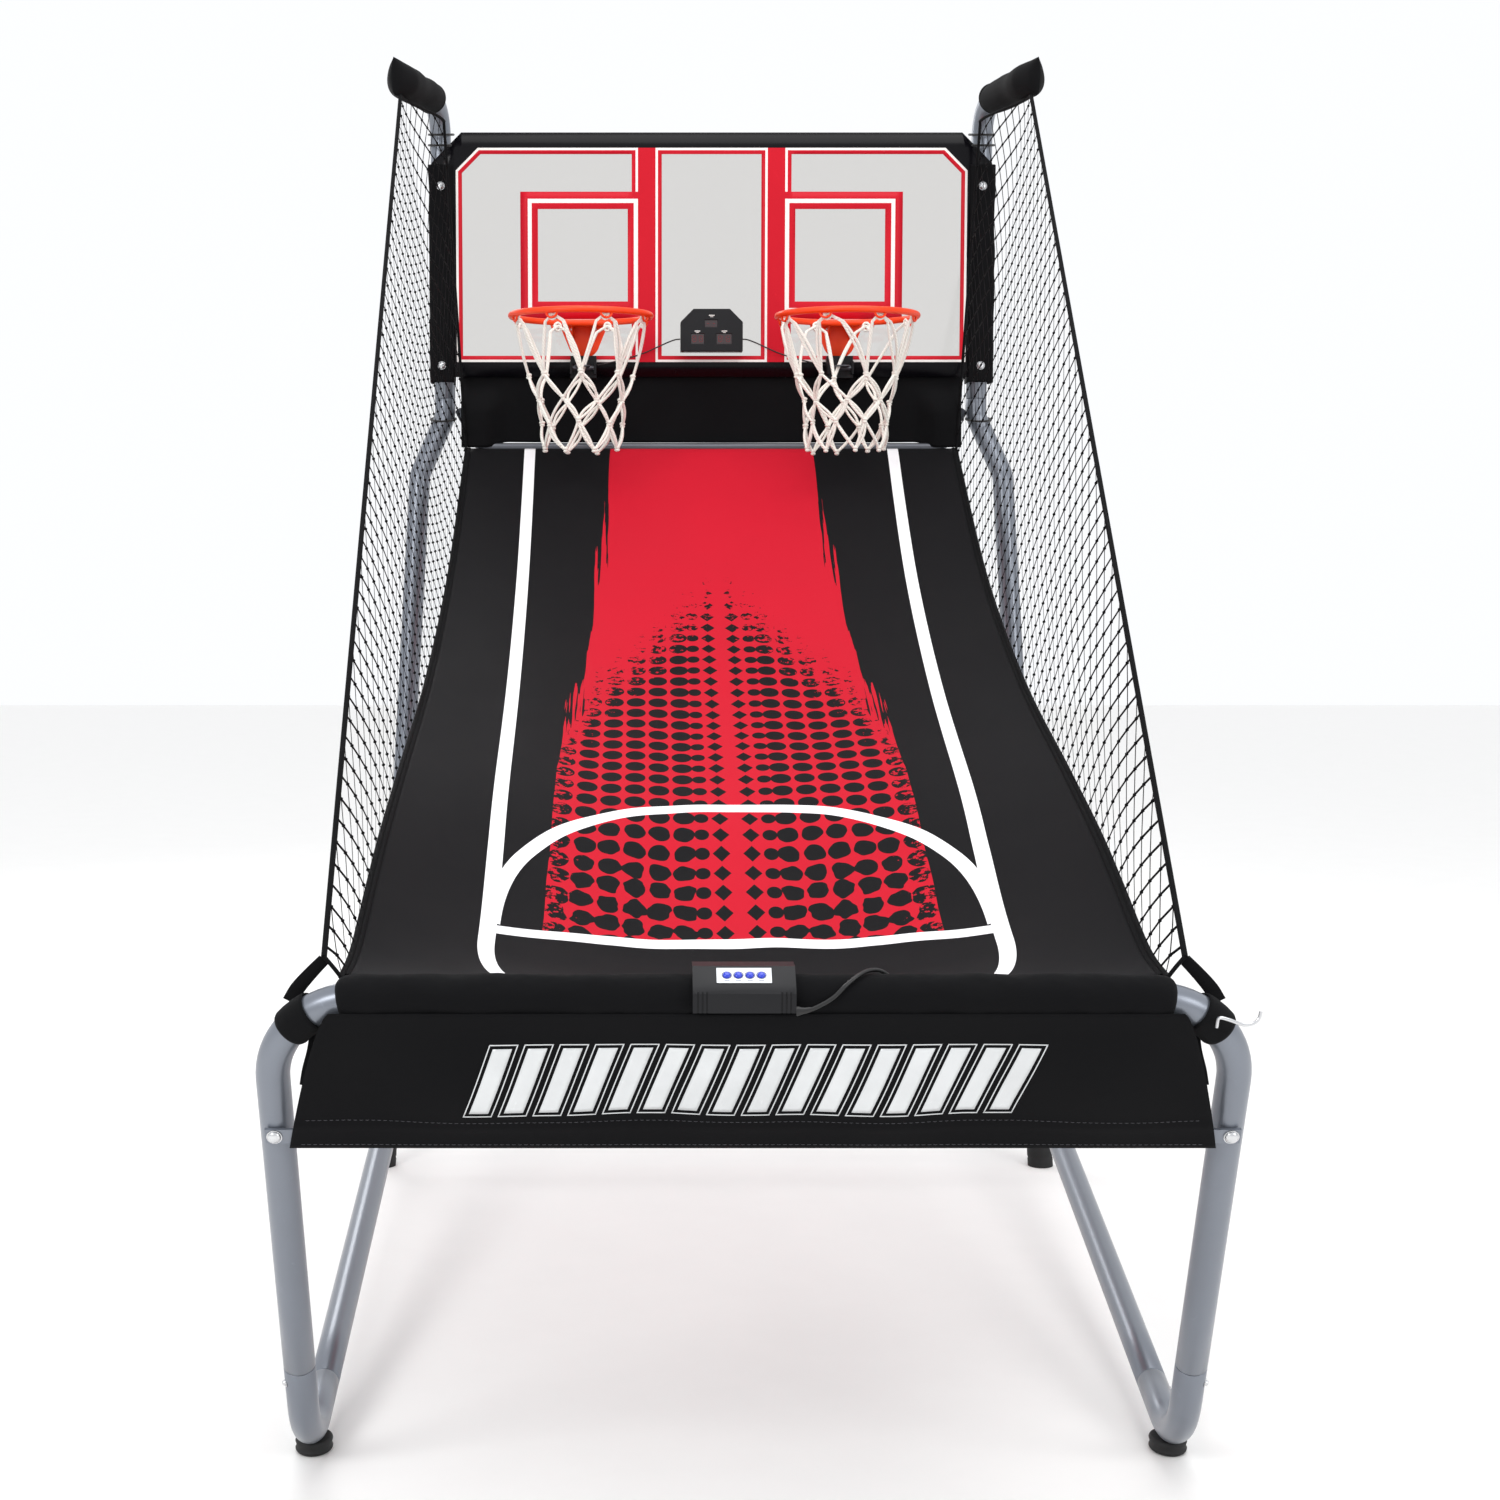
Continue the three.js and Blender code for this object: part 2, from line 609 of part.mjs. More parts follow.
const legTop = (side) => at(side * BAR_HALF, 0, BAR_Z);
const floorCorner = (side) => mirrored(FLOOR_CORNER, side);
const pivotPoint = (side) => mirrored(PIVOT, side);
const legway = (side) => legTop(side).sub(floorCorner(side)).normalize();
const railway = (side) => pivotPoint(side).sub(floorCorner(side)).normalize();
const legJoint = (side) => floorCorner(side).addScaledVector(legway(side), ELBOW_LEG);
const railJoint = (side) => floorCorner(side).addScaledVector(railway(side), ELBOW_RAIL);

const frontPath = bentPath([legJoint(-1), legTop(-1), legTop(1), legJoint(1)], BAR_BEND);

// The point of a front leg at height z.
function onFrontLeg(side, z) {
  const share = (z - FLOOR_CORNER[2]) / (BAR_Z - FLOOR_CORNER[2]);
  return floorCorner(side).lerp(legTop(side), share);
}

// Along the leaning legs as seen from the side, and square off their fronts.
const lean = new THREE.Vector3(0, legway(1).y, legway(1).z).normalize();
const offLegs = new THREE.Vector3(0, -lean.z, lean.y);

function frontTube() {
  const ends = [-1, 1].map((side) => swage(legJoint(side), legway(side).negate()));
  const holes = [-1, 1].map((side) => pin(onFrontLeg(side, APRON_BAR.z), offLegs, BOLT_HOLE, 90));
  return cut(join(tube(frontPath), ...ends), ...holes);
}
piece(frontFrame, 'front_tube', frontTube(), SILVER);

function elbowPath(side) {
  const start = legJoint(side).addScaledVector(legway(side), -GAP);
  const end = railJoint(side).addScaledVector(railway(side), -GAP);
  return bentPath([start, floorCorner(side), end], ELBOW_BEND, 7);
}

function sideRail(side) {
  const tail = pivotPoint(side).addScaledVector(railway(side), RAIL_TAIL);
  const body = join(tube([railJoint(side), tail]), swage(railJoint(side), railway(side).negate()));
  return cut(body, pin(pivotPoint(side), ACROSS, PIVOT_BOLT_R + 0.5, 60));
}

// A rubber saddle under the elbow.
function footPad(side) {
  const lowest = elbowPath(side).reduce((low, point) => (point.z < low.z ? point : low));
  const saddle = block(PAD.width, PAD.length, PAD.height, lowest.x, lowest.y - FRONT_Y, PAD.height / 2);
  return cut(saddle, rod(elbowPath(side), TUBE_R + 0.5, TUBE_SIDES));
}

// The bolt that both the rail and the rear leg turn on, with a spacer between them.
function pivotBolt(side) {
  const leg = onLeg(side, PIVOT[2]);
  const outward = new THREE.Vector3(side, 0, 0);
  const head = leg.clone().addScaledVector(outward, TUBE_R + 1);
  const inside = pivotPoint(side).x * side - TUBE_R - 9;
  const shank = bolt(head, outward, PIVOT_BOLT_R, head.x * side - inside);
  const middle = (leg.x * side - TUBE_R + pivotPoint(side).x * side + TUBE_R) / 2;
  const spacer = pin(new THREE.Vector3(side * middle, leg.y, leg.z), ACROSS, 9, 3.2);
  return join(shank, spacer);
}

for (const [name, side] of SIDES) {
  piece(frontFrame, `floor_elbow_${name}`, tube(elbowPath(side)), SILVER);
  piece(frontFrame, `side_rail_${name}`, sideRail(side), SILVER);
  piece(frontFrame, `front_foot_${name}`, footPad(side), RUBBER);
  piece(frontFrame, `pivot_bolt_${name}`, pivotBolt(side), STEEL);
}

// ---------------------------------------------------------------- apron on the front bar

// The hem bar lies flat against the fronts of the legs.
const barMiddle = onFrontLeg(1, APRON_BAR.z).setX(0)
  .addScaledVector(offLegs, TUBE_R + 0.4 + APRON_BAR.thickness / 2);

function apronBar() {
  const { half, height, thickness } = APRON_BAR;
  const bar = new THREE.BoxGeometry(2 * half, height, thickness)
    .applyMatrix4(new THREE.Matrix4().makeBasis(ACROSS, lean, offLegs))
    .translate(barMiddle.x, barMiddle.y, barMiddle.z);
  const holes = [-1, 1].map((side) => pin(onFrontLeg(side, APRON_BAR.z), offLegs, BOLT_HOLE, 90));
  return cut(bar, ...holes);
}
piece(frontFrame, 'apron_bar', apronBar(), SILVER);

for (const [name, side] of SIDES) {
  const head = onFrontLeg(side, APRON_BAR.z)
    .addScaledVector(offLegs, TUBE_R + 0.4 + APRON_BAR.thickness + GAP);
  piece(frontFrame, `apron_bolt_${name}`, bolt(head, offLegs, BOLT_R, 54), STEEL);
}

// The padded sleeve round the bar and the cloth that hangs from it over the hem bar.
function apron() {
  const sleeve = tube([at(-ROLL.half, 0, BAR_Z), at(ROLL.half, 0, BAR_Z)],
    ROLL.radius, ROLL.radius - TUBE_R - 2.4, 20);
  const hem = barMiddle.clone().addScaledVector(offLegs, APRON_BAR.thickness / 2 + GAP)
    .addScaledVector(lean, -APRON_BAR.height / 2 - 4);
  const top = at(0, -ROLL.radius + 5, BAR_Z - 13);
  const hang = (u, v) => {
    const half = mix(APRON.top, APRON.bottom, Math.pow(1 - v, APRON.flare));
    return hem.clone().lerp(top, v).setX(mix(-half, half, u));
  };
  return join(sleeve, drape(2, 5, hang, offLegs.clone().multiplyScalar(APRON.cloth)));
}
piece(frontFrame, 'apron', apron(), CLOTH);

// Webbing that ties each side net's corner to the bend of the tube.
function netStrap(side) {
  const arc = bentPath([at(0, 0, BAR_Z), legTop(side), floorCorner(side)], BAR_BEND, 14).slice(4, 8);
  return tube(arc, TUBE_R + 4.8, 2.2, 16);
}
for (const [name, side] of SIDES) {
  piece(frontFrame, `net_strap_${name}`, netStrap(side), CLOTH);
}

// A wire hook on the right bend, for the strap that holds the folded frame.
const hookRoute = [[520, -17, 640], [520, -27, 652], [530, -31, 651], [545, -33, 646], [556, -34, 647],
  [563, -34, 653], [565, -34, 661]].map(([x, y, z]) => at(x, y, z));
piece(frontFrame, 'fold_hook', rod(bentPath(hookRoute, 4, 2), 2, 6), STEEL);

// ---------------------------------------------------------------- control box

const FACE_LOW = [-34, 20];      // the sloping button face, in y and z from the bar's centre
const FACE_HIGH = [-9, 38];
const faceAlong = new THREE.Vector3(0, FACE_HIGH[0] - FACE_LOW[0], FACE_HIGH[1] - FACE_LOW[1]).normalize();
const faceOut = new THREE.Vector3(0, -faceAlong.z, faceAlong.y);
const faceMiddle = at(CONTROL.x, (FACE_LOW[0] + FACE_HIGH[0]) / 2, BAR_Z + (FACE_LOW[1] + FACE_HIGH[1]) / 2);
const faceLength = Math.hypot(FACE_HIGH[0] - FACE_LOW[0], FACE_HIGH[1] - FACE_LOW[1]);
const buttonPlaces = [0, 1, 2, 3].map((i) =>
  faceMiddle.clone().add(new THREE.Vector3((i - 1.5) * BUTTON.spacing, 0, 0)));

function saddleOutline(inner, outer) {
  const shape = new THREE.Shape();
  const [from, to] = CONTROL.saddleArc.map(THREE.MathUtils.degToRad);
  shape.absarc(0, BAR_Z, inner, from, to, true);
  shape.absarc(0, BAR_Z, outer, to, from, false);
  return shape;
}

function controlCover() {
  const { saddle } = CONTROL;
  const shape = new THREE.Shape();
  const [from, to] = CONTROL.coverArc.map(THREE.MathUtils.degToRad);
  shape.absarc(0, BAR_Z, saddle + 3, from, to, true);
  const rest = [[37, -2], [37, 22], [20, 38], FACE_HIGH, FACE_LOW, [-40, 12], [-40, -10]];
  rest.forEach(([y, z]) => shape.lineTo(y, BAR_Z + z));
  const body = crossSection(shape, CONTROL.x, 2 * CONTROL.half);
  const bores = buttonPlaces.map((place) => pin(place, faceOut, BUTTON.radius + 0.4, 12));
  return cut(body, ...bores, ...grooves());
}

// Grip grooves across both ends of the cover's front.
function grooves() {
  const cuts = [];
  for (const end of [-1, 1]) {
    for (let i = 0; i < 3; i += 1) {
      cuts.push(block(2, 3, 40, CONTROL.x + end * (CONTROL.half - 6 - i * 5), -40, BAR_Z));
    }
  }
  return cuts;
}

piece(frontFrame, 'control_saddle',
  crossSection(saddleOutline(CONTROL.saddle, CONTROL.saddle + 2.6), CONTROL.x, 2 * CONTROL.half - 6),
  BLACK_PLASTIC);
piece(frontFrame, 'control_cover', controlCover(), BLACK_PLASTIC);

function buttonPlate() {
  const label = new THREE.BoxGeometry(62, faceLength - 8, 1)
    .applyMatrix4(new THREE.Matrix4().makeBasis(ACROSS, faceAlong, faceOut));
  const place = faceMiddle.clone().addScaledVector(faceOut, 0.5 + GAP);
  label.translate(place.x, place.y, place.z);
  return cut(label, ...buttonPlaces.map((spot) => pin(spot, faceOut, BUTTON.radius + 0.4, 12)));
}
piece(frontFrame, 'button_plate', buttonPlate(), LABEL_WHITE);

buttonPlaces.forEach((place, i) => {
  const { radius } = BUTTON;
  const cap = turned([
    [0, -1.5], [radius, -1.5], [radius, 2.4], [radius * 0.82, 3.3],
    [radius * 0.45, 3.9], [0, 4.1],
  ], 12, place, faceOut);
  piece(frontFrame, `button_${i + 1}`, cap, BUTTON_BLUE);
});

// The lead from the control box: over the sleeve and down behind it, under the ramp's edge.
const CABLE_R = 2.5;
const CABLE_ROUTE = [
  [47, -36, 662], [54, -36.5, 662.5], [63, -36, 664.5], [75, -34, 670], [81.6, -32.8, 673.7],
  [88, -31.2, 678], [94.6, -28.5, 683.8], [101, -25, 689.5], [114, -15.5, 697.6],
  [127, -2.5, 701.4], [140, 11, 699.6], [152, 22.5, 692], [162, 29.6, 681.5],
  [169, 31.8, 669], [174, 31.6, 656], [178, 29, 644],
];
const cable = new THREE.CatmullRomCurve3(CABLE_ROUTE.map(([x, y, z]) => at(x, y, z)), false, 'centripetal');
piece(frontFrame, 'control_cable', new THREE.ExtrudeGeometry(polygon(CABLE_R, 8), {
  steps: 26, extrudePath: cable, bevelEnabled: false }), RUBBER);

// ---------------------------------------------------------------- ramp and side nets

const rampEdge = profile([
  [30, 684], [140, 698], [300, 752], [450, 800], [680, 860], [1100, 968], [1530, 1132], [1940, 1366]]);
const rampSag = profile([
  [30, 4], [130, 45], [250, 98], [380, 114], [520, 88], [680, 54], [1073, 30], [1530, 16], [1940, 2]]);

function rampPoint(u, v) {
  const y = mix(RAMP.start, RAMP.end, v);
  const across = 2 * u - 1;
  const z = rampEdge(y) - rampSag(y) * (1 - across * across);
  return at(across * RAMP.half, y, z);
}
piece(rearFrame, 'ramp', drape(8, 16, rampPoint, new THREE.Vector3(0, 0, RAMP.cloth)), RAMP_CLOTH);

// One side net, as a thin sheet from the ramp's edge to the line between the strap and the hood.
function sideNet(side) {
  const { frontX, tipX, poleX } = SIDE_NET;
  const startY = SIDE_NET.start;
  const endY = POLE_FOOT[1] - TUBE_R - COVER.half - 6;
  const tipY = POLE_TIP[1] + 4;
  const surface = (u, v) => {
    const y = mix(startY, endY, u);
    const rise = Math.min((y - startY) / (tipY - startY), 1);
    const low = rampEdge(y) + RAMP.cloth + 2;
    const high = mix(BAR_Z + SIDE_NET.rise, POLE_TIP[2] - HOOD.across / 2 - 4, rise);
    const behind = Math.max((y - tipY) / (endY - tipY), 0);
    const lowX = RAMP.half + 3;
    const highX = mix(mix(frontX, tipX, rise), poleX, smooth(behind));
    return at(side * mix(lowX, highX, v), y, mix(low, high, v));
  };
  const outward = new THREE.Vector3(side * SIDE_NET.cloth, 0, 0);
  return drape(10, 4, (u, v) => surface(side > 0 ? u : 1 - u, v), outward);
}
for (const [name, side] of SIDES) {
  piece(rearFrame, `side_net_${name}`, sideNet(side), MESH);
}

export default machine;
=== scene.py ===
"""Looks of a two-player folding basketball hoop machine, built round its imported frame.

Metres, +X to the player's right, +Y away from the player, +Z up. Places that begin with
at() are measured from the front bar's centre line, as the frame itself is drawn.
"""
import math
import random

import bmesh
import bpy
from mathutils import Matrix, Vector, noise


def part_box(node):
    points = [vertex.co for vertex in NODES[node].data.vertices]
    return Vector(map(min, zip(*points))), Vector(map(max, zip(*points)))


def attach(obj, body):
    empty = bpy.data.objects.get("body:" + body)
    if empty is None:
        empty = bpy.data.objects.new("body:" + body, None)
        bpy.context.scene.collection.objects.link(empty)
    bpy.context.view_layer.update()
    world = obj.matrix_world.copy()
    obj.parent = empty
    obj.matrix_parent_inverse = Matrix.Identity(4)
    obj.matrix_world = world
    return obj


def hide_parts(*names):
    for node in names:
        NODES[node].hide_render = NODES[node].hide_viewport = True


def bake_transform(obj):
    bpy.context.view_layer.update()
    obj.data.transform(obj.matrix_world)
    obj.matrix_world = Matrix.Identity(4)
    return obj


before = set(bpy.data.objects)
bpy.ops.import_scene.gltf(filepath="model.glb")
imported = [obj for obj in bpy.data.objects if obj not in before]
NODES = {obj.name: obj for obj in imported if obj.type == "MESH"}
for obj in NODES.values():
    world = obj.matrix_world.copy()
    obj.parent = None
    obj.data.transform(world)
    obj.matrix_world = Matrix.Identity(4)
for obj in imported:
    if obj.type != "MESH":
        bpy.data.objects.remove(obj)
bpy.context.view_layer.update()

SIDES = (("left", -1), ("right", 1))
REAR, FRONT = "rear_frame", "front_frame"

# ------------------------------------------------------------------ driving sizes

FRONT_Y = -0.989                 # the front bar's centre line
TUBE_R = 0.020
WALL = 0.0018
BAR_Z, BAR_HALF, BAR_BEND = 0.670, 0.556, 0.115
FLOOR_CORNER = (0.560, 0.296, 0.022)
ELBOW_BEND, ELBOW_LEG, ELBOW_RAIL = 0.110, 0.150, 0.170
PIVOT = (0.570, 1.808, 0.300)
RAIL_TAIL = 0.034
REAR_FOOT = (0.630, 1.774, 0.006)
SHOULDER = (0.564, 1.926, 1.320)
POLE_FOOT = (0.519, 1.985, 1.436)
LEG_END_Z, LEG_BEND = 1.470, 0.040
POLE_TOP = (0.525, 1.985, 2.036)
POLE_TIP = (0.578, 1.678, 2.026)
POLE_BEND = 0.062
HOOD_R, HOOD_LENGTH = 0.0285, 0.250
CROSSBAR_Z, CROSSBAR_R = 0.140, 0.0125
RAIL = {"y": 1.950, "z": 1.374, "half": 0.452, "r": 0.009, "bend": 0.030}
BOARD = {"half": 0.540, "bottom": 1.510, "top": 1.976, "front": 1.955, "chamfer": 0.058}
SLEEVE_LENGTH = 0.415
BOLT_X, BOLT_ZS = 0.522, (("lower", 1.532), ("upper", 1.874))
POST_SHORT = 0.052               # how far a post stops inside its hood
COVER = {"half": 0.025, "front": 1.950, "back": 2.010, "bottom": 1.500, "top": 1.915}
HOOP = {"x": 0.247, "y": 1.760, "z": 1.608, "radius": 0.129, "rod": 0.006}
RAMP_HALF, RAMP_START, RAMP_END = 0.470, 0.044, 1.944
EDGE_KNOTS = ((0.030, 0.684), (0.140, 0.698), (0.300, 0.752), (0.450, 0.800), (0.680, 0.860),
              (1.100, 0.968), (1.530, 1.132), (1.940, 1.366))
SAG_KNOTS = ((0.030, 0.004), (0.130, 0.045), (0.250, 0.098), (0.380, 0.114), (0.520, 0.088),
             (0.680, 0.054), (1.073, 0.030), (1.530, 0.016), (1.940, 0.002))
ROLL_HALF, ROLL_R = 0.474, 0.028
HEM_Z, HEM_HEIGHT, HEM_THICK = 0.506, 0.020, 0.004
CABLE_R, WIRE_R = 0.0025, 0.0013
CABLE_ROUTE = (
    (0.047, -0.036, 0.662), (0.054, -0.0365, 0.6625), (0.063, -0.036, 0.6645),
    (0.075, -0.034, 0.670), (0.0816, -0.0328, 0.6737), (0.088, -0.0312, 0.678),
    (0.0946, -0.0285, 0.6838), (0.101, -0.025, 0.6895), (0.114, -0.0155, 0.6976),
    (0.127, -0.0025, 0.7014), (0.140, 0.011, 0.6996), (0.152, 0.0225, 0.692),
    (0.162, 0.0296, 0.6815), (0.169, 0.0318, 0.669), (0.174, 0.0316, 0.656),
    (0.178, 0.029, 0.644))
WIRE_ROUTE = (
    (0.0606, 1.946, 1.582), (0.070, 1.9456, 1.581), (0.084, 1.9465, 1.576),
    (0.0928, 1.9473, 1.5722), (0.102, 1.948, 1.568), (0.1119, 1.9484, 1.5635),
    (0.122, 1.9486, 1.559), (0.1329, 1.9487, 1.5548), (0.144, 1.9488, 1.551),
    (0.155, 1.9488, 1.5476), (0.166, 1.9488, 1.5445), (0.186, 1.9485, 1.5395),
    (0.204, 1.9475, 1.5355), (0.214, 1.9465, 1.5335), (0.2214, 1.946, 1.5325))

UP = Vector((0, 0, 1))
ACROSS = Vector((1, 0, 0))
TO_PLAYER = Vector((0, -1, 0))
UPRIGHT = Matrix.Rotation(math.radians(90), 4, "X")


def at(x, y, z):
    """A place measured from the front bar."""
    return Vector((x, y + FRONT_Y, z))


def mirrored(place, side):
    return at(place[0] * side, place[1], place[2])


def mix(a, b, share):
    return a + (b - a) * share


def ease(t):
    return t * t * (3 - 2 * t)


# ------------------------------------------------------------------ paths

def bent_path(corners, bend, steps=10):
    """Straight runs between corners, each corner rounded to the bend radius."""
    points = [corners[0]]
    for before, corner, after in zip(corners, corners[1:], corners[2:]):
        back, on = (before - corner).normalized(), (after - corner).normalized()
        half = back.angle(on) / 2
        start = corner + back * bend / math.tan(half)
        centre = corner + (back + on).normalized() * bend / math.sin(half)
        end = corner + on * bend / math.tan(half)
        axis = (start - centre).cross(end - centre).normalized()
        turn = (start - centre).angle(end - centre)
        for k in range(steps + 1):
            points.append(centre + Matrix.Rotation(turn * k / steps, 3, axis) @ (start - centre))
    return points + [corners[-1]]


def catmull(points, steps=4):
    """A smooth line through every point."""
    padded = [points[0] * 2 - points[1], *points, points[-1] * 2 - points[-2]]
    line = []
    for a, b, c, d in zip(padded, padded[1:], padded[2:], padded[3:]):
        for k in range(steps):
            t = k / steps
            line.append(0.5 * (2 * b + (c - a) * t + (2 * a - 5 * b + 4 * c - d) * t * t
                               + (3 * b - a - 3 * c + d) * t ** 3))
    return line + [points[-1]]


def measure(points):
    return sum((b - a).length for a, b in zip(points, points[1:]))


def stretch(points, start, end):
    """The part of a path between two distances along it."""
    kept, travelled = [], 0.0
    for a, b in zip(points, points[1:]):
        length = (b - a).length
        if not kept and start < travelled + length:
            kept.append(a.lerp(b, (start - travelled) / length))
        if kept and end <= travelled + length:
            return kept + [a.lerp(b, (end - travelled) / length)]
        if kept and (b - kept[-1]).length > 1e-4:
            kept.append(b)
        travelled += length
    return kept


def dense(points, spacing):
    """The same path with stations no further apart than spacing."""
    line = [points[0]]
    for a, b in zip(points, points[1:]):
        count = max(1, math.ceil((b - a).length / spacing))
        line += [a.lerp(b, k / count) for k in range(1, count + 1)]
    return line


def profile(knots):
    line = catmull([Vector((0, y, z)) for y, z in knots], 12)

    def height(y):
        for a, b in zip(line, line[1:]):
            if y <= b.y:
                return mix(a.z, b.z, (y - a.y) / (b.y - a.y))
        return line[-1].z
    return height


# ------------------------------------------------------------------ mesh making

def finish_piece(name, bm, materials, body=REAR, replaces=(), sharp=35, merge=True):
    """Turns a bmesh into a piece at the origin that rides on its body."""
    if merge:
        bmesh.ops.remove_doubles(bm, verts=bm.verts[:], dist=1e-6)
    mesh = bpy.data.meshes.new(name)
    bm.to_mesh(mesh)
    bm.free()
    for surface in materials if isinstance(materials, (list, tuple)) else [materials]:
        mesh.materials.append(surface)
    mesh.polygons.foreach_set("use_smooth", [True] * len(mesh.polygons))
    mesh.set_sharp_from_angle(angle=math.radians(sharp))
    piece = bpy.data.objects.new(name, mesh)
    bpy.context.scene.collection.objects.link(piece)
    if body:
        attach(piece, body)
    if replaces:
        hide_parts(*replaces)
    return piece


def add_solidify(piece, thickness, offset=-1.0):
    wall = piece.modifiers.new("Wall", "SOLIDIFY")
    wall.thickness, wall.offset = thickness, offset
    return piece


def add_bevel(piece, width, segments):
    rounding = piece.modifiers.new("Rounding", "BEVEL")
    rounding.width, rounding.segments = width, segments
    rounding.limit_method, rounding.angle_limit = "ANGLE", math.radians(35)
    rounding.harden_normals = True
    return piece


def turn_to(direction, place=Vector((0, 0, 0))):
    """A matrix that stands +Z along a direction at a place."""
    return Matrix.Translation(place) @ direction.to_track_quat("Z", "Y").to_matrix().to_4x4()


def sweep(bm, points, radius, sides=12, capped=True, shape=None):
    """Extrudes a ring from station to station. Its UV runs round the ring and, in metres, along it.
    radius is one number or one for each point; shape is (across, deep) shares of the radius."""
    points = [Vector(p) for p in points]
    radii = list(radius) if isinstance(radius, (list, tuple)) else [radius] * len(points)
    uv = bm.loops.layers.uv.verify()
    shapes = shape if isinstance(shape, list) else [shape or (1.0, 1.0)] * len(points)
    ahead = (points[1] - points[0]).normalized()
    aside = (UP if abs(ahead.z) < 0.9 else ACROSS).cross(ahead).normalized()
    place, ring, past, along = {}, None, None, 0.0
    for i, point in enumerate(points):
        before, after = points[max(i - 1, 0)], points[min(i + 1, len(points) - 1)]
        tangent = ((point - before).normalized() + (after - point).normalized()).normalized()
        aside = ahead.rotation_difference(tangent) @ aside
        aside = (aside - tangent * aside.dot(tangent)).normalized()
        ahead = tangent
        basis = Matrix((aside * radii[i] * shapes[i][0], tangent.cross(aside) * radii[i] * shapes[i][1],
                        tangent * radii[i])).transposed().to_4x4()
        now = Matrix.Translation(point) @ basis
        if ring is None:
            first = bmesh.ops.create_circle(bm, segments=sides, radius=1.0, matrix=now)["verts"]
            ring = list(first)
            for k, vert in enumerate(ring):
                place[vert] = (k, 0.0)
            edges = [e for e in bm.edges if e.verts[0] in place and e.verts[1] in place]
            if capped:
                bmesh.ops.contextual_create(bm, geom=edges)
        else:
            along += (point - points[i - 1]).length
            grown = bmesh.ops.extrude_edge_only(bm, edges=edges)["geom"]
            fresh = [g for g in grown if isinstance(g, bmesh.types.BMVert)]
            edges_new = [g for g in grown if isinstance(g, bmesh.types.BMEdge)
                         and g.verts[0] in fresh and g.verts[1] in fresh]
            for vert in fresh:
                old = next(e.other_vert(vert) for e in vert.link_edges if e.other_vert(vert) in place
                           and e.other_vert(vert) not in fresh)
                place[vert] = (place[old][0], along)
            bmesh.ops.transform(bm, matrix=now @ past.inverted(), verts=fresh)
            for face in {f for v in fresh for f in v.link_faces}:
                rounds = [place[loop.vert][0] for loop in face.loops]
                wraps = max(rounds) - min(rounds) > sides / 2
                for loop in face.loops:
                    k, run = place[loop.vert]
                    loop[uv].uv = ((k + (sides if wraps and k < sides / 2 else 0)) / sides, run)
            ring, edges = fresh, edges_new
        past = now
    if capped:
        bmesh.ops.contextual_create(bm, geom=edges)


def turned(bm, outline, place, direction, steps=32):
    """Spins an outline of (radius, height) points round an axis."""
    before = set(bm.verts)
    verts = [bm.verts.new((r, 0.0, h)) for r, h in outline]
    edges = [bm.edges.new(pair) for pair in zip(verts, verts[1:])]
    bmesh.ops.spin(bm, geom=verts + edges, axis=(0, 0, 1), cent=(0, 0, 0), dvec=(0, 0, 0),
                   angle=2 * math.pi, steps=steps, use_merge=True)
    fresh = [v for v in bm.verts if v not in before]
    bmesh.ops.transform(bm, matrix=turn_to(direction, place), verts=fresh)
    bmesh.ops.remove_doubles(bm, verts=fresh, dist=1e-6)
    faces = {f for v in bm.verts if v not in before for f in v.link_faces}
    bmesh.ops.recalc_face_normals(bm, faces=list(faces))


def slab(bm, outline, depth, matrix, rounding=0.0, segments=2):
    """A flat outline made thick and rounded, then stood in its place by a matrix."""
    face = bm.faces.new([bm.verts.new((x, y, 0.0)) for x, y in outline])
    grown = bmesh.ops.extrude_face_region(bm, geom=[face])["geom"]
    fresh = [g for g in grown if isinstance(g, bmesh.types.BMVert)]
    bmesh.ops.translate(bm, verts=fresh, vec=(0, 0, depth))
    verts = list(face.verts) + fresh
    edges = list({e for v in verts for e in v.link_edges})
    bmesh.ops.transform(bm, matrix=matrix, verts=verts)
    faces = {f for v in verts for f in v.link_faces}
    bmesh.ops.recalc_face_normals(bm, faces=list(faces))
    if rounding:
        bmesh.ops.bevel(bm, geom=edges, offset=rounding, offset_type="OFFSET", segments=segments,
                        affect="EDGES", profile=0.5, material=-1, clamp_overlap=True)


def slice_at(bm, place, normal, dist=1e-6, **clear):
    """Cuts all that a plane crosses; clear_inner or clear_outer drops one side of it."""
    bmesh.ops.bisect_plane(bm, geom=bm.verts[:] + bm.edges[:] + bm.faces[:], dist=dist,
                           plane_co=place, plane_no=normal, **clear)


def angles(steps, turn=2 * math.pi):
    return [turn * k / steps for k in range(steps + 1)]


def rectangle(width, height):
    x, y = width / 2, height / 2
    return [(-x, -y), (x, -y), (x, y), (-x, y)]


def arc(centre, radius, start, end, steps):
    return [(centre[0] + radius * math.cos(math.radians(mix(start, end, k / steps))),
             centre[1] + radius * math.sin(math.radians(mix(start, end, k / steps))))
            for k in range(steps + 1)]


def sheet_mesh(bm, columns, rows, surface, cut):
    """A grid whose points move to surface(u, v); its UV is cut(u, v), in metres."""
    uv = bm.loops.layers.uv.verify()
    made = bmesh.ops.create_grid(bm, x_segments=columns, y_segments=rows, size=0.5)["verts"]
    share = {v: (v.co.x + 0.5, v.co.y + 0.5) for v in made}
    for vert in made:
        vert.co = surface(*share[vert])
    for face in bm.faces:
        for loop in face.loops:
            if loop.vert in share:
                loop[uv].uv = cut(*share[loop.vert])


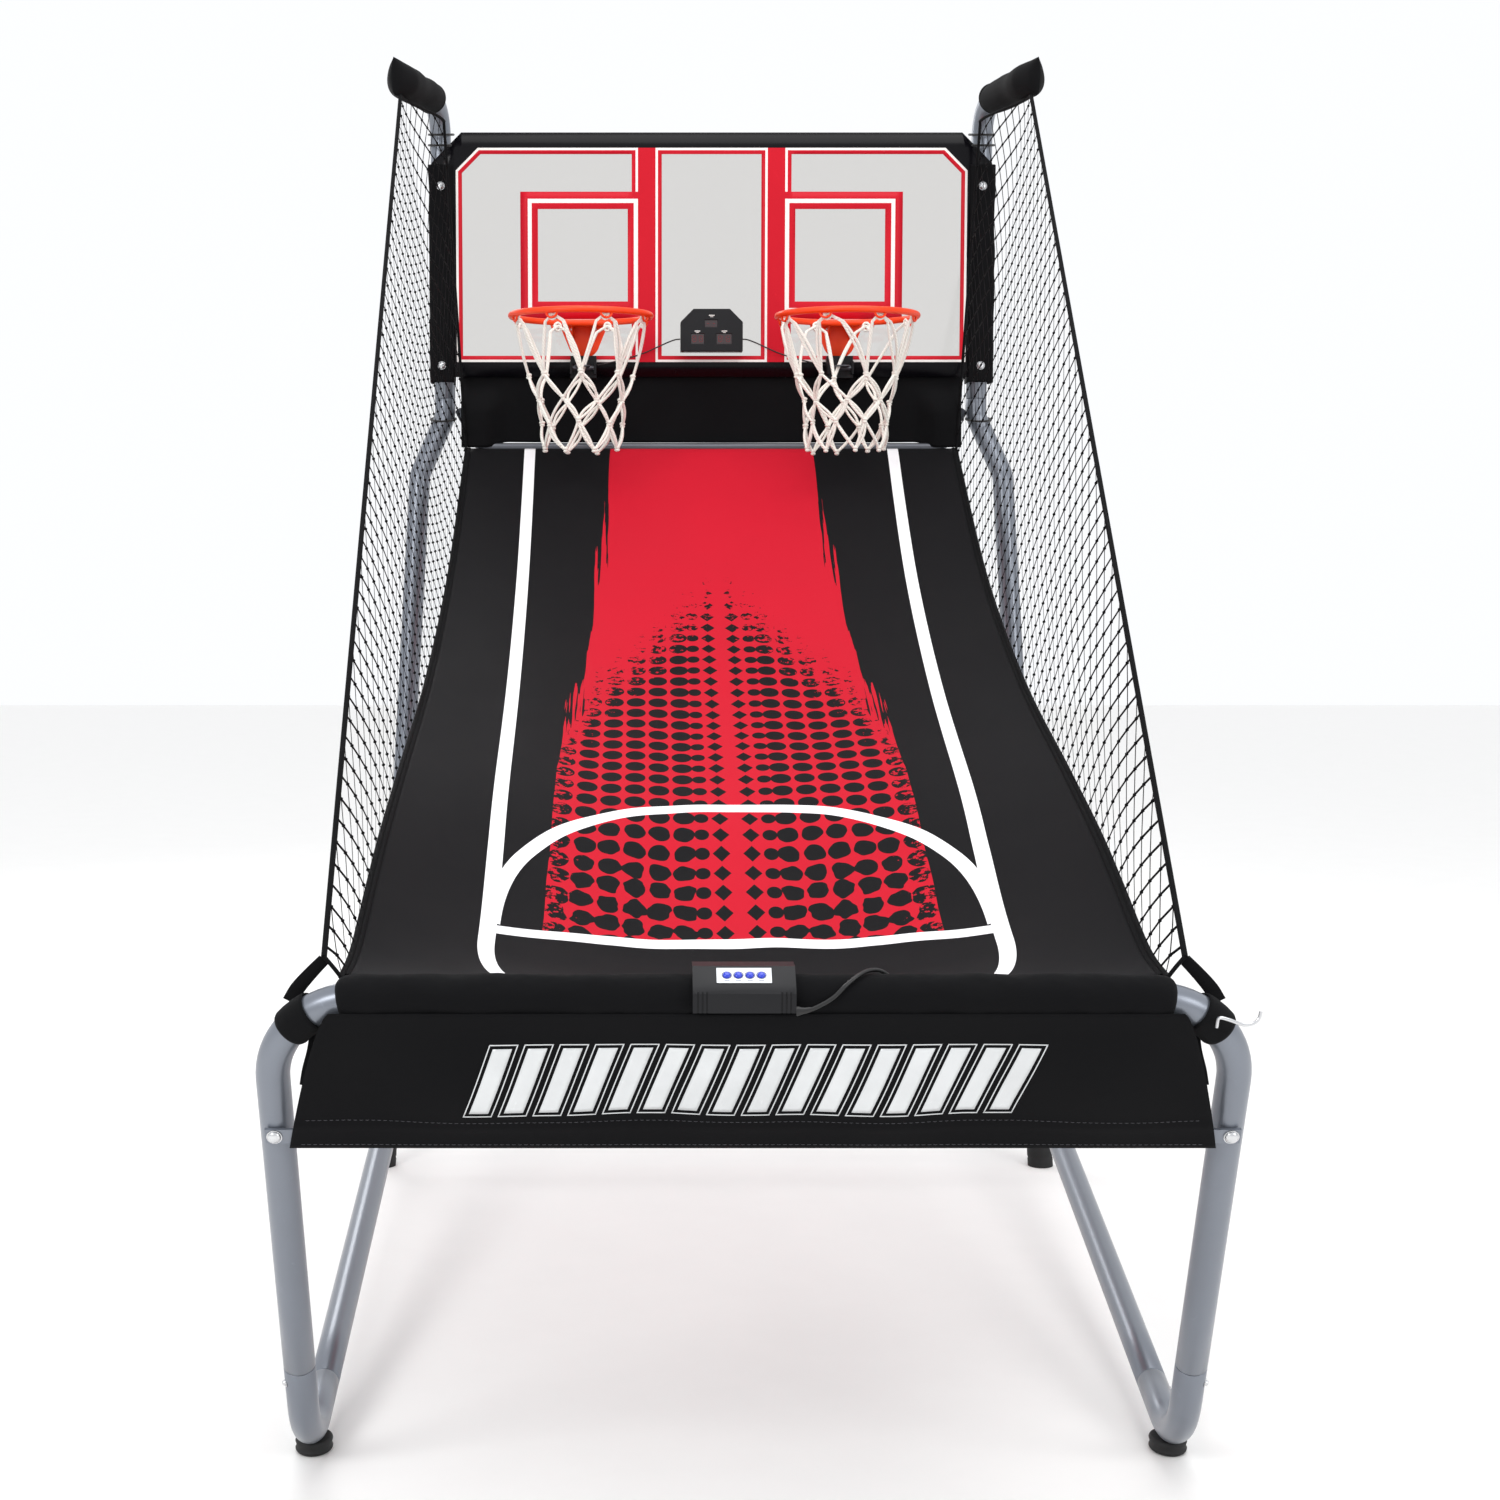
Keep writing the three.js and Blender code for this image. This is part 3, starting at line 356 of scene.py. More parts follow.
def cad_copy(name, nodes, material, body, rounding=0.0008, segments=2):
    """A smooth-edged copy of rigid CAD nodes that stands for them."""
    bm = bmesh.new()
    for node in nodes:
        bm.from_mesh(NODES[node].data)
    bmesh.ops.remove_doubles(bm, verts=bm.verts[:], dist=2e-5)
    bmesh.ops.dissolve_limit(bm, angle_limit=math.radians(0.5), verts=bm.verts[:], edges=bm.edges[:])
    piece = finish_piece(name, bm, material, body, nodes, merge=False)
    return add_bevel(piece, rounding, segments)


# ------------------------------------------------------------------ finishes

def rgb(red, green, blue):
    """An sRGB colour from 0 to 255 as a linear one."""
    def linear(c):
        c /= 255
        return c / 12.92 if c <= 0.04045 else ((c + 0.055) / 1.055) ** 2.4
    return (linear(red), linear(green), linear(blue), 1.0)


def add(tree, kind, inputs=None, **settings):
    """A node with its settings, its sockets set or linked by name or number."""
    made = tree.nodes.new(kind)
    for key, value in settings.items():
        setattr(made, key, value)
    for key, value in (inputs or {}).items():
        connect(tree, value, made.inputs[key])
    return made


def connect(tree, value, target):
    """Links a field or a socket to a target socket, or sets a plain value on it."""
    value = getattr(value, "socket", value)
    if isinstance(value, bpy.types.NodeSocket):
        tree.links.new(value, target)
    else:
        target.default_value = value


class Field:
    """A number that changes over a surface. Arithmetic on it adds Math nodes to its tree."""

    def __init__(self, tree, socket):
        self.tree, self.socket = tree, socket

    def apply(self, operation, *others):
        return self.join(operation, self, *others)

    def join(self, operation, *values):
        made = add(self.tree, "ShaderNodeMath", dict(enumerate(values)), operation=operation)
        return Field(self.tree, made.outputs[0])

    def clamped(self):
        """The same node, held between 0 and 1."""
        self.socket.node.use_clamp = True
        return self

    def at_least(self, other):
        return self.apply("MAXIMUM", other)

    def __abs__(self):
        return self.apply("ABSOLUTE")


for sign, operation in (("add", "ADD"), ("sub", "SUBTRACT"), ("mul", "MULTIPLY"),
                        ("truediv", "DIVIDE"), ("pow", "POWER"), ("lt", "LESS_THAN"),
                        ("gt", "GREATER_THAN")):
    setattr(Field, f"__{sign}__", lambda a, b, kind=operation: a.join(kind, a, b))
    setattr(Field, f"__r{sign}__", lambda a, b, kind=operation: a.join(kind, b, a))


def feed(tree, inputs, **values):
    """Links fields and colours to a shader's or a group's own sockets."""
    for key, value in values.items():
        connect(tree, value, inputs[key.replace("_", " ")])


def noise_field(tree, vector, **settings):
    return Field(tree, add(tree, "ShaderNodeTexNoise", {"Vector": vector, **settings}).outputs["Fac"])


def split(tree, vector):
    parts = add(tree, "ShaderNodeSeparateXYZ", {0: vector}).outputs
    return Field(tree, parts["X"]), Field(tree, parts["Y"])


def pair(tree, x, y):
    return add(tree, "ShaderNodeCombineXYZ", {0: x, 1: y}).outputs[0]


def in_object(tree):
    return add(tree, "ShaderNodeTexCoord").outputs["Object"]


def on_cut(tree):
    """The piece's own UV: the flat cut of a cloth, or round and along a cord."""
    return add(tree, "ShaderNodeUVMap").outputs["UV"]


def blend_colour(tree, share, low, high):
    mixed = add(tree, "ShaderNodeMix", {"Factor": share}, data_type="RGBA")
    colours = [s for s in mixed.inputs if s.type == "RGBA"]
    for target, value in zip(colours, (low, high)):
        connect(tree, value, target)
    return [s for s in mixed.outputs if s.type == "RGBA"][0]


def shade(colour, share, lift=0.0):
    return tuple(min(c * share + lift, 1.0) for c in colour[:3]) + (1.0,)


def new_group(name, numbers, outputs):
    """A node group that takes a Vector and named numbers."""
    tree = bpy.data.node_groups.new(name, "ShaderNodeTree")
    tree.interface.new_socket("Vector", in_out="INPUT", socket_type="NodeSocketVector")
    for socket, default in numbers.items():
        made = tree.interface.new_socket(socket, in_out="INPUT", socket_type="NodeSocketFloat")
        made.default_value = default
    for socket in outputs:
        tree.interface.new_socket(socket, in_out="OUTPUT", socket_type="NodeSocketFloat")
    return tree, tree.nodes.new("NodeGroupInput").outputs, tree.nodes.new("NodeGroupOutput").inputs


def grain_group():
    """Fine pebble grain and broad unevenness of a coated or moulded surface."""
    tree, given, out = new_group("Surface grain", {"Grain": 900.0, "Patches": 9.0},
                                 ["Height", "Patch", "Scuffs"])
    vector, patches = given["Vector"], Field(tree, given["Patches"])
    marks = noise_field(tree, vector, Detail=6.0, Scale=patches * 6.0, Roughness=0.7, Distortion=1.2)
    feed(tree, out, Height=noise_field(tree, vector, Scale=given["Grain"], Detail=2.0),
         Patch=noise_field(tree, vector, Scale=patches, Detail=5.0, Roughness=0.6),
         Scuffs=((marks - 0.62).clamped() * 6.0).clamped())
    return tree


def weave_group():
    """Plain weave: warp and weft yarns that pass over each other in turn."""
    tree, given, out = new_group("Plain weave", {"Yarns per metre": 1200.0}, ["Height", "Yarn"])
    across, along = (part * given["Yarns per metre"] for part in split(tree, given["Vector"]))
    warp, weft = (abs((yarn * math.pi).apply("SINE")) for yarn in (across, along))
    over = (across.apply("FLOOR") + along.apply("FLOOR")).apply("PINGPONG", 1.0)
    height = warp * (over * 0.6 + 0.4) + weft * (1.0 - over * 0.6)
    feed(tree, out, Height=height * 0.5, Yarn=over)
    return tree


def lay_group():
    """The twisted strands of a laid cord, from a UV round and along it. Its Shade output is painted
    shade, darkest in the grooves between strands, mixed with random fuzz tone.
    """
    tree, given, out = new_group("Cord lay", {"Turns per metre": 90.0, "Strands": 3.0},
                                 ["Height", "Shade"])
    around, along = split(tree, given["Vector"])
    phase = around * given["Strands"] + along * given["Turns per metre"]
    strand = abs((phase * math.pi).apply("SINE"))
    fuzz = noise_field(tree, given["Vector"], Scale=260.0, Detail=3.0)
    # Shade: painted shade, low in the grooves between strands, mixed with random fuzz tone
    feed(tree, out, Height=strand, Shade=strand * 0.6 + fuzz * 0.4)
    return tree


GRAIN, WEAVE, LAY = grain_group(), weave_group(), lay_group()


def new_material(name, **sockets):
    made = bpy.data.materials.new(name)
    made.use_nodes = True
    tree = made.node_tree
    inputs = tree.nodes["Principled BSDF"].inputs
    feed(tree, inputs, **sockets)
    return made, tree, inputs


def use_group(tree, group, vector, **values):
    made = add(tree, "ShaderNodeGroup", node_tree=group)
    feed(tree, made.inputs, Vector=vector, **values)
    return {socket.name: Field(tree, socket) for socket in made.outputs}


def bump(tree, height, distance):
    return add(tree, "ShaderNodeBump", {"Height": height, "Distance": distance,
                                        "Strength": 1.0}).outputs["Normal"]


def solid_finish(name, colour, roughness, spread=0.10, grain=900.0, depth=0.00004, patches=9.0,
                 **sockets):
    """Paint, plastic, rubber or bare metal, uneven and a little scuffed."""
    made, tree, inputs = new_material(name, **sockets)
    effect = use_group(tree, GRAIN, in_object(tree), Grain=grain, Patches=patches)
    base = blend_colour(tree, effect["Patch"], shade(colour, 1 - spread), shade(colour, 1 + spread))
    worn = blend_colour(tree, effect["Scuffs"] * 0.35, base, shade(colour, 1.5, 0.01))
    rough = effect["Patch"] * ROUGH_SPREAD + (roughness - ROUGH_SPREAD / 2)
    feed(tree, inputs, Base_Color=worn, Roughness=rough + effect["Scuffs"] * 0.10,
         Normal=bump(tree, effect["Height"], depth))
    return made


def cloth_colour(tree, weave, patch, colour, spread):
    return blend_colour(tree, weave["Yarn"] * 0.35 + patch * 0.65, shade(colour, 1 - spread),
                        shade(colour, 1 + spread))


def cloth_finish(name, colour, yarns=900.0, depth=0.00012, spread=0.35):
    """Woven cloth; its UV is the flat cut in metres."""
    made, tree, inputs = new_material(name, **CLOTH_GLOSS)
    weave = use_group(tree, WEAVE, on_cut(tree), Yarns_per_metre=yarns)
    patch = use_group(tree, GRAIN, in_object(tree), Grain=400.0, Patches=5.0)["Patch"]
    feed(tree, inputs, Base_Color=cloth_colour(tree, weave, patch, colour, spread),
         Roughness=patch * 0.16 + 0.74, Normal=bump(tree, weave["Height"], depth))
    return made


def cord_finish(name, colour, turns=90.0, depth=0.0004, spread=0.25):
    """Three-strand cord, its colour darkened in the grooves between strands as painted shade."""
    made, tree, inputs = new_material(name, Sheen_Weight=0.2)
    lay = use_group(tree, LAY, on_cut(tree), Turns_per_metre=turns, Strands=3.0)
    # darker where the lay's Shade is low: painted shade in the grooves between strands, plus random fuzz
    # tone
    feed(tree, inputs, Base_Color=blend_colour(tree, lay["Shade"], shade(colour, 1 - spread), colour),
         Roughness=lay["Shade"] * 0.2 + 0.65, Normal=bump(tree, lay["Height"], depth))
    return made


def clear_board_finish():
    """Clear sheet with faint wipe marks in its gloss."""
    made, tree, inputs = new_material("clear_board", Base_Color=(0.70, 0.685, 0.66, 1.0),
                                      Transmission_Weight=1.0, IOR=1.49, Metallic=0.0)
    wipe = noise_field(tree, in_object(tree), Scale=3.0, Detail=4.0, Distortion=1.5)
    feed(tree, inputs, Roughness=wipe * 0.07 + 0.02)
    return made


ROUGH_SPREAD = 0.12
CLOTH_GLOSS = {"Sheen_Weight": 0.01, "Sheen_Roughness": 0.5, "Specular_IOR_Level": 0.12}
SILVER = solid_finish("frame_silver", rgb(118, 123, 132), 0.34, grain=1500.0, depth=0.00003,
                      Metallic=0.55, Coat_Weight=0.25, Coat_Roughness=0.22)
DARK_RAIL = solid_finish("rail_silver", rgb(84, 86, 92), 0.34, grain=1500.0, depth=0.00003,
                         Metallic=0.6)
ZINC = solid_finish("zinc_steel", rgb(205, 206, 208), 0.26, spread=0.08, grain=2200.0,
                    depth=0.00002, Metallic=1.0)
ORANGE = solid_finish("rim_orange", rgb(240, 62, 8), 0.38, spread=0.08, grain=1300.0,
                      Specular_IOR_Level=0.3, Coat_Weight=0.1, Coat_Roughness=0.18)
RUBBER = solid_finish("foot_rubber", rgb(12, 12, 13), 0.72, grain=1600.0, depth=0.00006)
PLASTIC = solid_finish("moulded_black", rgb(12, 12, 16), 0.46, grain=2600.0, depth=0.00005,
                       Specular_IOR_Level=0.3)
JACKET = solid_finish("cable_jacket", rgb(9, 9, 10), 0.42, grain=1800.0, depth=0.00003)
BLUE = solid_finish("button_blue", rgb(12, 48, 190), 0.22, spread=0.14, grain=700.0, depth=0.00001,
                    Coat_Weight=0.6, Coat_Roughness=0.08)
CIRCUIT = solid_finish("circuit_green", rgb(26, 92, 52), 0.5, grain=1500.0)
LABEL = solid_finish("label_white", rgb(225, 228, 232), 0.42, spread=0.04)
LABEL_INK = solid_finish("label_ink", rgb(40, 50, 90), 0.5, spread=0.05)
LENS = solid_finish("red_lens", rgb(40, 4, 12), 0.14, spread=0.2, grain=400.0, depth=0.00001,
                    Coat_Weight=0.8, Coat_Roughness=0.06)
DIGIT = solid_finish("dim_segment", rgb(110, 8, 20), 0.35, spread=0.25, depth=0.00001)
PRINT_RED = solid_finish("board_red", rgb(190, 16, 36), 0.38, spread=0.06, grain=1000.0,
                         depth=0.00001, Specular_IOR_Level=0.15)
PRINT_WHITE = solid_finish("board_white", rgb(232, 228, 224), 0.34, spread=0.04, grain=1000.0,
                           depth=0.00001)
PRINT_BLACK = solid_finish("board_black", rgb(8, 7, 11), 0.26, grain=1000.0, depth=0.00001,
                           Specular_IOR_Level=0.15)
SILVER_INK = solid_finish("silver_ink", rgb(205, 207, 208), 0.40, spread=0.16, grain=500.0,
                          patches=14.0, depth=0.00006, Metallic=0.25)
BLACK_NET = solid_finish("black_net", rgb(7, 7, 9), 0.7, grain=2600.0, depth=0.00008,
                         Specular_IOR_Level=0.12)
CLOTH = cloth_finish("black_cloth", rgb(7, 7, 9))
WEBBING = cloth_finish("black_webbing", rgb(8, 8, 10), yarns=520.0, depth=0.0003, spread=0.5)
BLACK_CORD = cord_finish("black_net_cord", rgb(9, 9, 11), turns=260.0)
WHITE_CORD = cord_finish("white_net_cord", rgb(246, 241, 232), turns=150.0, depth=0.0006,
                         spread=0.20)
THREAD = cord_finish("dark_thread", rgb(52, 52, 58), turns=900.0, depth=0.0001)
CLEAR = clear_board_finish()

# The court print, in metres on the flat cloth: x from its middle, y as the machine's own y.
SIDE_LINE_X, SIDE_LINE_FLARE, LINE_HALF = 0.336, 0.016, 0.0105
HOOK_Y, HOOK_TURN = -0.72, 1.4
KEY_Y, KEY_HALF, KEY_DEPTH, KEY_ROUND, KEY_LINE = -0.66, 0.321, 0.355, 2.4, 0.031
BASE_Y, BASE_SAG, BASE_HALF = -0.612, 0.65, 0.0115
COLUMN_FIRST, COLUMN_PITCH, ROW_PITCH = 0.072, 0.0345, 0.042
DOT, HALF_DOT, HALF_DOT_X, PIP, PIP_X, PIP_WIDE = 0.435, 0.30, 0.0475, 0.36, 0.021, 0.034
DOTS_TO, DOTS_FADE = 0.33, 0.42
LANE_START, LANE_END = -0.72, 0.96
LANE_EDGE = ((-0.72, 0.259), (-0.30, 0.255), (-0.03, 0.253), (0.02, 0.238), (0.20, 0.224),
             (0.58, 0.214), (0.78, 0.201), (0.96, 0.196))
TORN_ZONES = ((0.46, 0.86), (-0.10, 0.20))


def court_lines(x, y):
    """White lines: two long sides, a flattened half circle and a sagging base line."""
    hook = (HOOK_Y - y).at_least(0.0)
    side_at = y * SIDE_LINE_FLARE + SIDE_LINE_X - hook * hook * HOOK_TURN
    side_line = abs(x - side_at) < LINE_HALF
    rise = ((y - KEY_Y) / KEY_DEPTH).at_least(0.0)
    reach = ((x / KEY_HALF) ** KEY_ROUND + rise ** KEY_ROUND) ** (1 / KEY_ROUND)
    key_line = (abs(reach - 1.0) < KEY_LINE) * (y > KEY_Y)
    base_at = BASE_Y - x * x * BASE_SAG
    base_line = (abs(y - base_at) < BASE_HALF) * (x < side_at)
    return side_line.at_least(key_line.at_least(base_line)), base_at


def red_lane(tree, x, y):
    """The lane's edge steps outwards towards the player and tears into brush streaks."""
    run = LANE_END - LANE_START
    share = ((y - LANE_START) / run).clamped()
    edge = add(tree, "ShaderNodeFloatCurve", {"Value": share})
    curve = edge.mapping.curves[0]
    for k in (0, -1):
        curve.points[k].location = (-k, LANE_EDGE[k][1])
    for station, half in LANE_EDGE[1:-1]:
        curve.points.new((station - LANE_START) / run, half)
    for point in curve.points:
        point.handle_type = "VECTOR"
    edge.mapping.update()
    hair = noise_field(tree, pair(tree, x * 150.0, y * 3.2), Scale=1.0, Detail=3.0)
    back, front = ((1.0 - abs(y - (low + high) / 2) / ((high - low) / 2)).clamped()
                   for low, high in TORN_ZONES)
    torn = back.at_least(front.at_least(0.10))
    return x < Field(tree, edge.outputs[0]) + (hair - 0.5) * 0.16 * torn


def court_dots(tree, x, y):
    """Dots in columns that run together near the player, and crumble and thin out beyond."""
    both = pair(tree, x, y)
    ragged = noise_field(tree, both, Scale=95.0, Detail=3.0, Roughness=0.65)
    blob = noise_field(tree, both, Scale=38.0, Detail=1.0)
    column, row = (x - COLUMN_FIRST) / COLUMN_PITCH, y / ROW_PITCH
    off_x, off_y = (line - line.apply("ROUND") for line in (column, row))
    away = (off_x * off_x + off_y * off_y * 1.15).apply("SQRT")
    merge = ((-0.28 - y).clamped() * 2.2).clamped()
    dot = (away < (blob - 0.47) * merge + DOT) * (column > -0.5)
    pip = (abs((x - PIP_X) / PIP_WIDE) + abs(off_y * 0.9) < PIP) * (x < 0.040)
    from_half = ((x - HALF_DOT_X) / COLUMN_PITCH) ** 2.0 + off_y * off_y
    marks = dot.at_least(pip.at_least(from_half.apply("SQRT") < HALF_DOT))
    density = ((DOTS_TO - x * 2.0 + DOTS_FADE - y) / DOTS_FADE).clamped()
    worn = (x - 0.20).clamped() * 4.5
    return marks * (ragged < density * 0.58 + 0.17 - worn)


def ramp_finish():
    """Black cloth printed with a red streaked lane, a fading field of dots and white court lines."""
    made, tree, inputs = new_material("ramp_print", **CLOTH_GLOSS)
    flat = on_cut(tree)
    cut_x, y = split(tree, flat)
    x = abs(cut_x)
    white, base_at = court_lines(x, y)
    red_shows = red_lane(tree, x, y) * (y > base_at) * (1.0 - court_dots(tree, x, y))
    weave = use_group(tree, WEAVE, flat, Yarns_per_metre=1000.0)
    patch = use_group(tree, GRAIN, in_object(tree), Grain=400.0, Patches=4.0)["Patch"]
    black = cloth_colour(tree, weave, patch, rgb(10, 9, 12), 0.25)
    red = cloth_colour(tree, weave, patch, rgb(190, 18, 40), 0.10)
    chalk = cloth_colour(tree, weave, patch, rgb(244, 242, 244), 0.04)
    ground = blend_colour(tree, red_shows, black, red)
    feed(tree, inputs, Base_Color=blend_colour(tree, white, ground, chalk),
         Roughness=patch * 0.14 + 0.62, Normal=bump(tree, weave["Height"], 0.0001))
    return made


RAMP_PRINT = ramp_finish()

# ------------------------------------------------------------------ camera, floor and light

def camera():
    lens = bpy.data.cameras.new("camera")
    lens.lens, lens.sensor_width, lens.shift_x = 55.86, 36.0, 0.0676
    lens.clip_end = 100.0
    stand = bpy.data.objects.new("camera", lens)
    stand.location = (-0.1214, -3.597, 1.1773)
    stand.rotation_euler = (math.radians(85.069), 0.0, 0.0)
    bpy.context.scene.collection.objects.link(stand)
    bpy.context.scene.camera = stand


def area_light(name, place, target, size, power):
    light = bpy.data.lights.new(name, "AREA")
    light.shape, light.size, light.energy = "DISK", size, power
    lamp = bpy.data.objects.new(name, light)
    lamp.location = place
    lamp.rotation_euler = (Vector(target) - Vector(place)).to_track_quat("-Z", "Y").to_euler()
    bpy.context.scene.collection.objects.link(lamp)


def studio():
    floor_stuff = solid_finish("studio_floor", rgb(246, 245, 243), 0.6, spread=0.02, grain=60.0,
                               depth=0.0001)
    bm = bmesh.new()
    bmesh.ops.create_grid(bm, x_segments=1, y_segments=1, size=14.0)
    floor = finish_piece("studio_floor", bm, floor_stuff, body=None)
    floor.data.transform(Matrix.Translation((0, 0, -0.0005)))
    world = bpy.data.worlds.new("studio")
    world.use_nodes = True
    world.node_tree.nodes["Background"].inputs["Color"].default_value = (0.93, 0.94, 0.96, 1)
    world.node_tree.nodes["Background"].inputs["Strength"].default_value = 1.06
    bpy.context.scene.world = world
    bpy.context.scene.view_settings.view_transform = "Standard"
    for lamp in (("overhead", (0.4, -0.6, 4.6), (0, 0.2, 0.9), 3.4, 72),
                 ("key", (-3.0, -3.8, 3.2), (0, 0.0, 1.0), 1.8, 78),
                 ("fill", (3.2, -3.0, 2.2), (0, 0.3, 1.0), 1.6, 35),
                 ("behind", (-1.8, 3.6, 3.2), (0, 0.8, 1.4), 1.6, 30)):
        area_light(*lamp)


camera()
studio()


# ------------------------------------------------------------------ cords

def cord_piece(name, route, radius, node, body, material):
    line = catmull([Vector(p) for p in route], 3)
    bm = bmesh.new()
    sweep(bm, line, radius, 12)
    piece = finish_piece(name, bm, material, body, (node,))
    round(measure(line), 3)
    [tuple(p) for p in line]


cord_piece("control_lead", [at(*p) for p in CABLE_ROUTE], CABLE_R, "control_cable", FRONT, JACKET)
for name, side in SIDES:
    cord_piece(f"switch_lead_{name}", [mirrored(p, side) for p in WIRE_ROUTE], WIRE_R,
               f"sensor_wire_{name}", REAR, JACKET)


# ------------------------------------------------------------------ frame tubes

def shell_tube(name, path, node, body, radius=TUBE_R, wall=WALL, sides=40, material=SILVER):
    """A round tube with broken edges."""
    line = dense(path, 0.12)
    ends = [line[0], line[0].lerp(line[1], 0.001 / (line[1] - line[0]).length)]
    tail = line[-1].lerp(line[-2], 0.001 / (line[-2] - line[-1]).length)
    stations = ends + line[1:-1] + [tail, line[-1]]
    radii = [radius - 0.0007] + [radius] * (len(stations) - 2) + [radius - 0.0007]
    bm = bmesh.new()
    sweep(bm, stations, radii, sides, capped=False)
    bmesh.ops.recalc_face_normals(bm, faces=bm.faces[:])
    piece = finish_piece(name, bm, material, body, (node,), sharp=40)
    return add_solidify(piece, wall)


def rear_leg_path(side):
    corners = [mirrored(REAR_FOOT, side), mirrored(SHOULDER, side), mirrored(POLE_FOOT, side),
               mirrored((POLE_FOOT[0], POLE_FOOT[1], LEG_END_Z), side)]
    return bent_path(corners, LEG_BEND, 10)


def pole_path(side):
    corners = [mirrored((POLE_FOOT[0], POLE_FOOT[1], LEG_END_Z + 0.0003), side),
               mirrored(POLE_TOP, side), mirrored(POLE_TIP, side)]
    return bent_path(corners, POLE_BEND, 12)


def on_leg(side, z):
    return mirrored(REAR_FOOT, side).lerp(
        mirrored(SHOULDER, side), (z - REAR_FOOT[2]) / (SHOULDER[2] - REAR_FOOT[2]))


def bar_end(side):
    return at(side * BAR_HALF, 0, BAR_Z)


def floor_corner(side):
    return mirrored(FLOOR_CORNER, side)


def leg_way(side):
    return (bar_end(side) - floor_corner(side)).normalized()


def rail_way(side):
    return (mirrored(PIVOT, side) - floor_corner(side)).normalized()


def leg_joint(side):
    return floor_corner(side) + leg_way(side) * ELBOW_LEG


def rail_joint(side):
    return floor_corner(side) + rail_way(side) * ELBOW_RAIL


def on_front_leg(side, z):
    return floor_corner(side).lerp(bar_end(side), (z - FLOOR_CORNER[2]) / (BAR_Z - FLOOR_CORNER[2]))


def elbow_path(side):
    return bent_path([leg_joint(side) - leg_way(side) * 0.0003, floor_corner(side),
                      rail_joint(side) - rail_way(side) * 0.0003], ELBOW_BEND, 18)


LEAN = Vector((0, leg_way(1).y, leg_way(1).z)).normalized()
OFF_LEGS = Vector((0, -LEAN.z, LEAN.y))

FRONT_PATH = bent_path([leg_joint(-1), bar_end(-1), bar_end(1), leg_joint(1)], BAR_BEND, 18)
shell_tube("front_bow", FRONT_PATH, "front_tube", FRONT)


def plug_cap(name, place, direction, body, radius=TUBE_R):
    """A moulded plug pressed into an open tube end."""
    bm = bmesh.new()
    turned(bm, [(0, 0.0032), (radius * 0.62, 0.0030), (radius * 0.86, 0.0022), (radius * 0.97, 0.0008),
                (radius * 0.98, 0.0002), (radius - WALL - 0.0003, 0.0002),
                (radius - WALL - 0.0003, -0.012), (0, -0.012)], place, direction, 32)
    return finish_piece(name, bm, PLASTIC, body)


def spring_button(name, place, direction, body):
    """The small sprung stud that locks two tubes together."""
    bm = bmesh.new()
    turned(bm, [(0, 0.0042), (0.0018, 0.0039), (0.0031, 0.0028), (0.0037, 0.0010), (0.0038, -0.002),
                (0, -0.002)], place, direction, 20)
    turned(bm, [(0.0040, -0.0006), (0.0056, 0.0000), (0.0056, 0.0004), (0.0040, 0.0004)],
           place, direction, 20)
    return finish_piece(name, bm, ZINC, body)


for name, side in SIDES:
    shell_tube(f"leg_{name}", rear_leg_path(side), f"rear_leg_{name}", REAR)
    post_line = pole_path(side)
    shell_tube(f"post_{name}", stretch(post_line, 0.0, measure(post_line) - POST_SHORT),
               f"pole_{name}", REAR)
    shell_tube(f"elbow_{name}", elbow_path(side), f"floor_elbow_{name}", FRONT)
    tail = mirrored(PIVOT, side) + rail_way(side) * RAIL_TAIL
    shell_tube(f"rail_{name}", [rail_joint(side), tail], f"side_rail_{name}", FRONT)
    plug_cap(f"rail_plug_{name}", tail, rail_way(side), FRONT)
    outward = ACROSS * side
    for k, (spot, way) in enumerate((
            (rail_joint(side) - rail_way(side) * 0.022, rail_way(side)),
            (leg_joint(side) - leg_way(side) * 0.022, leg_way(side)))):
        out = (outward * 0.85 + TO_PLAYER * 0.4 - UP * 0.1)
        out = (out - way * out.dot(way)).normalized()
        spring_button(f"elbow_button_{k + 1}_{name}", spot + out * TUBE_R, out, FRONT)

CROSS_ENDS = [on_leg(side, CROSSBAR_Z) - ACROSS * side * (TUBE_R + 0.0008) for side in (-1, 1)]
shell_tube("lower_crossbar", CROSS_ENDS, "rear_crossbar", REAR, CROSSBAR_R, 0.0015, 28)


def upper_rail():
    def end(side):
        return at(side * (POLE_FOOT[0] - TUBE_R - 0.008), POLE_FOOT[1] - 0.004, RAIL["z"] + 0.074)
    corners = [end(-1), at(-RAIL["half"], RAIL["y"], RAIL["z"]),
               at(RAIL["half"], RAIL["y"], RAIL["z"]), end(1)]
    return shell_tube("upper_rail", bent_path(corners, RAIL["bend"], 10), "rear_rail", REAR,
                      RAIL["r"], 0.0012, 28, DARK_RAIL)


upper_rail()


# ------------------------------------------------------------------ feet and bolts

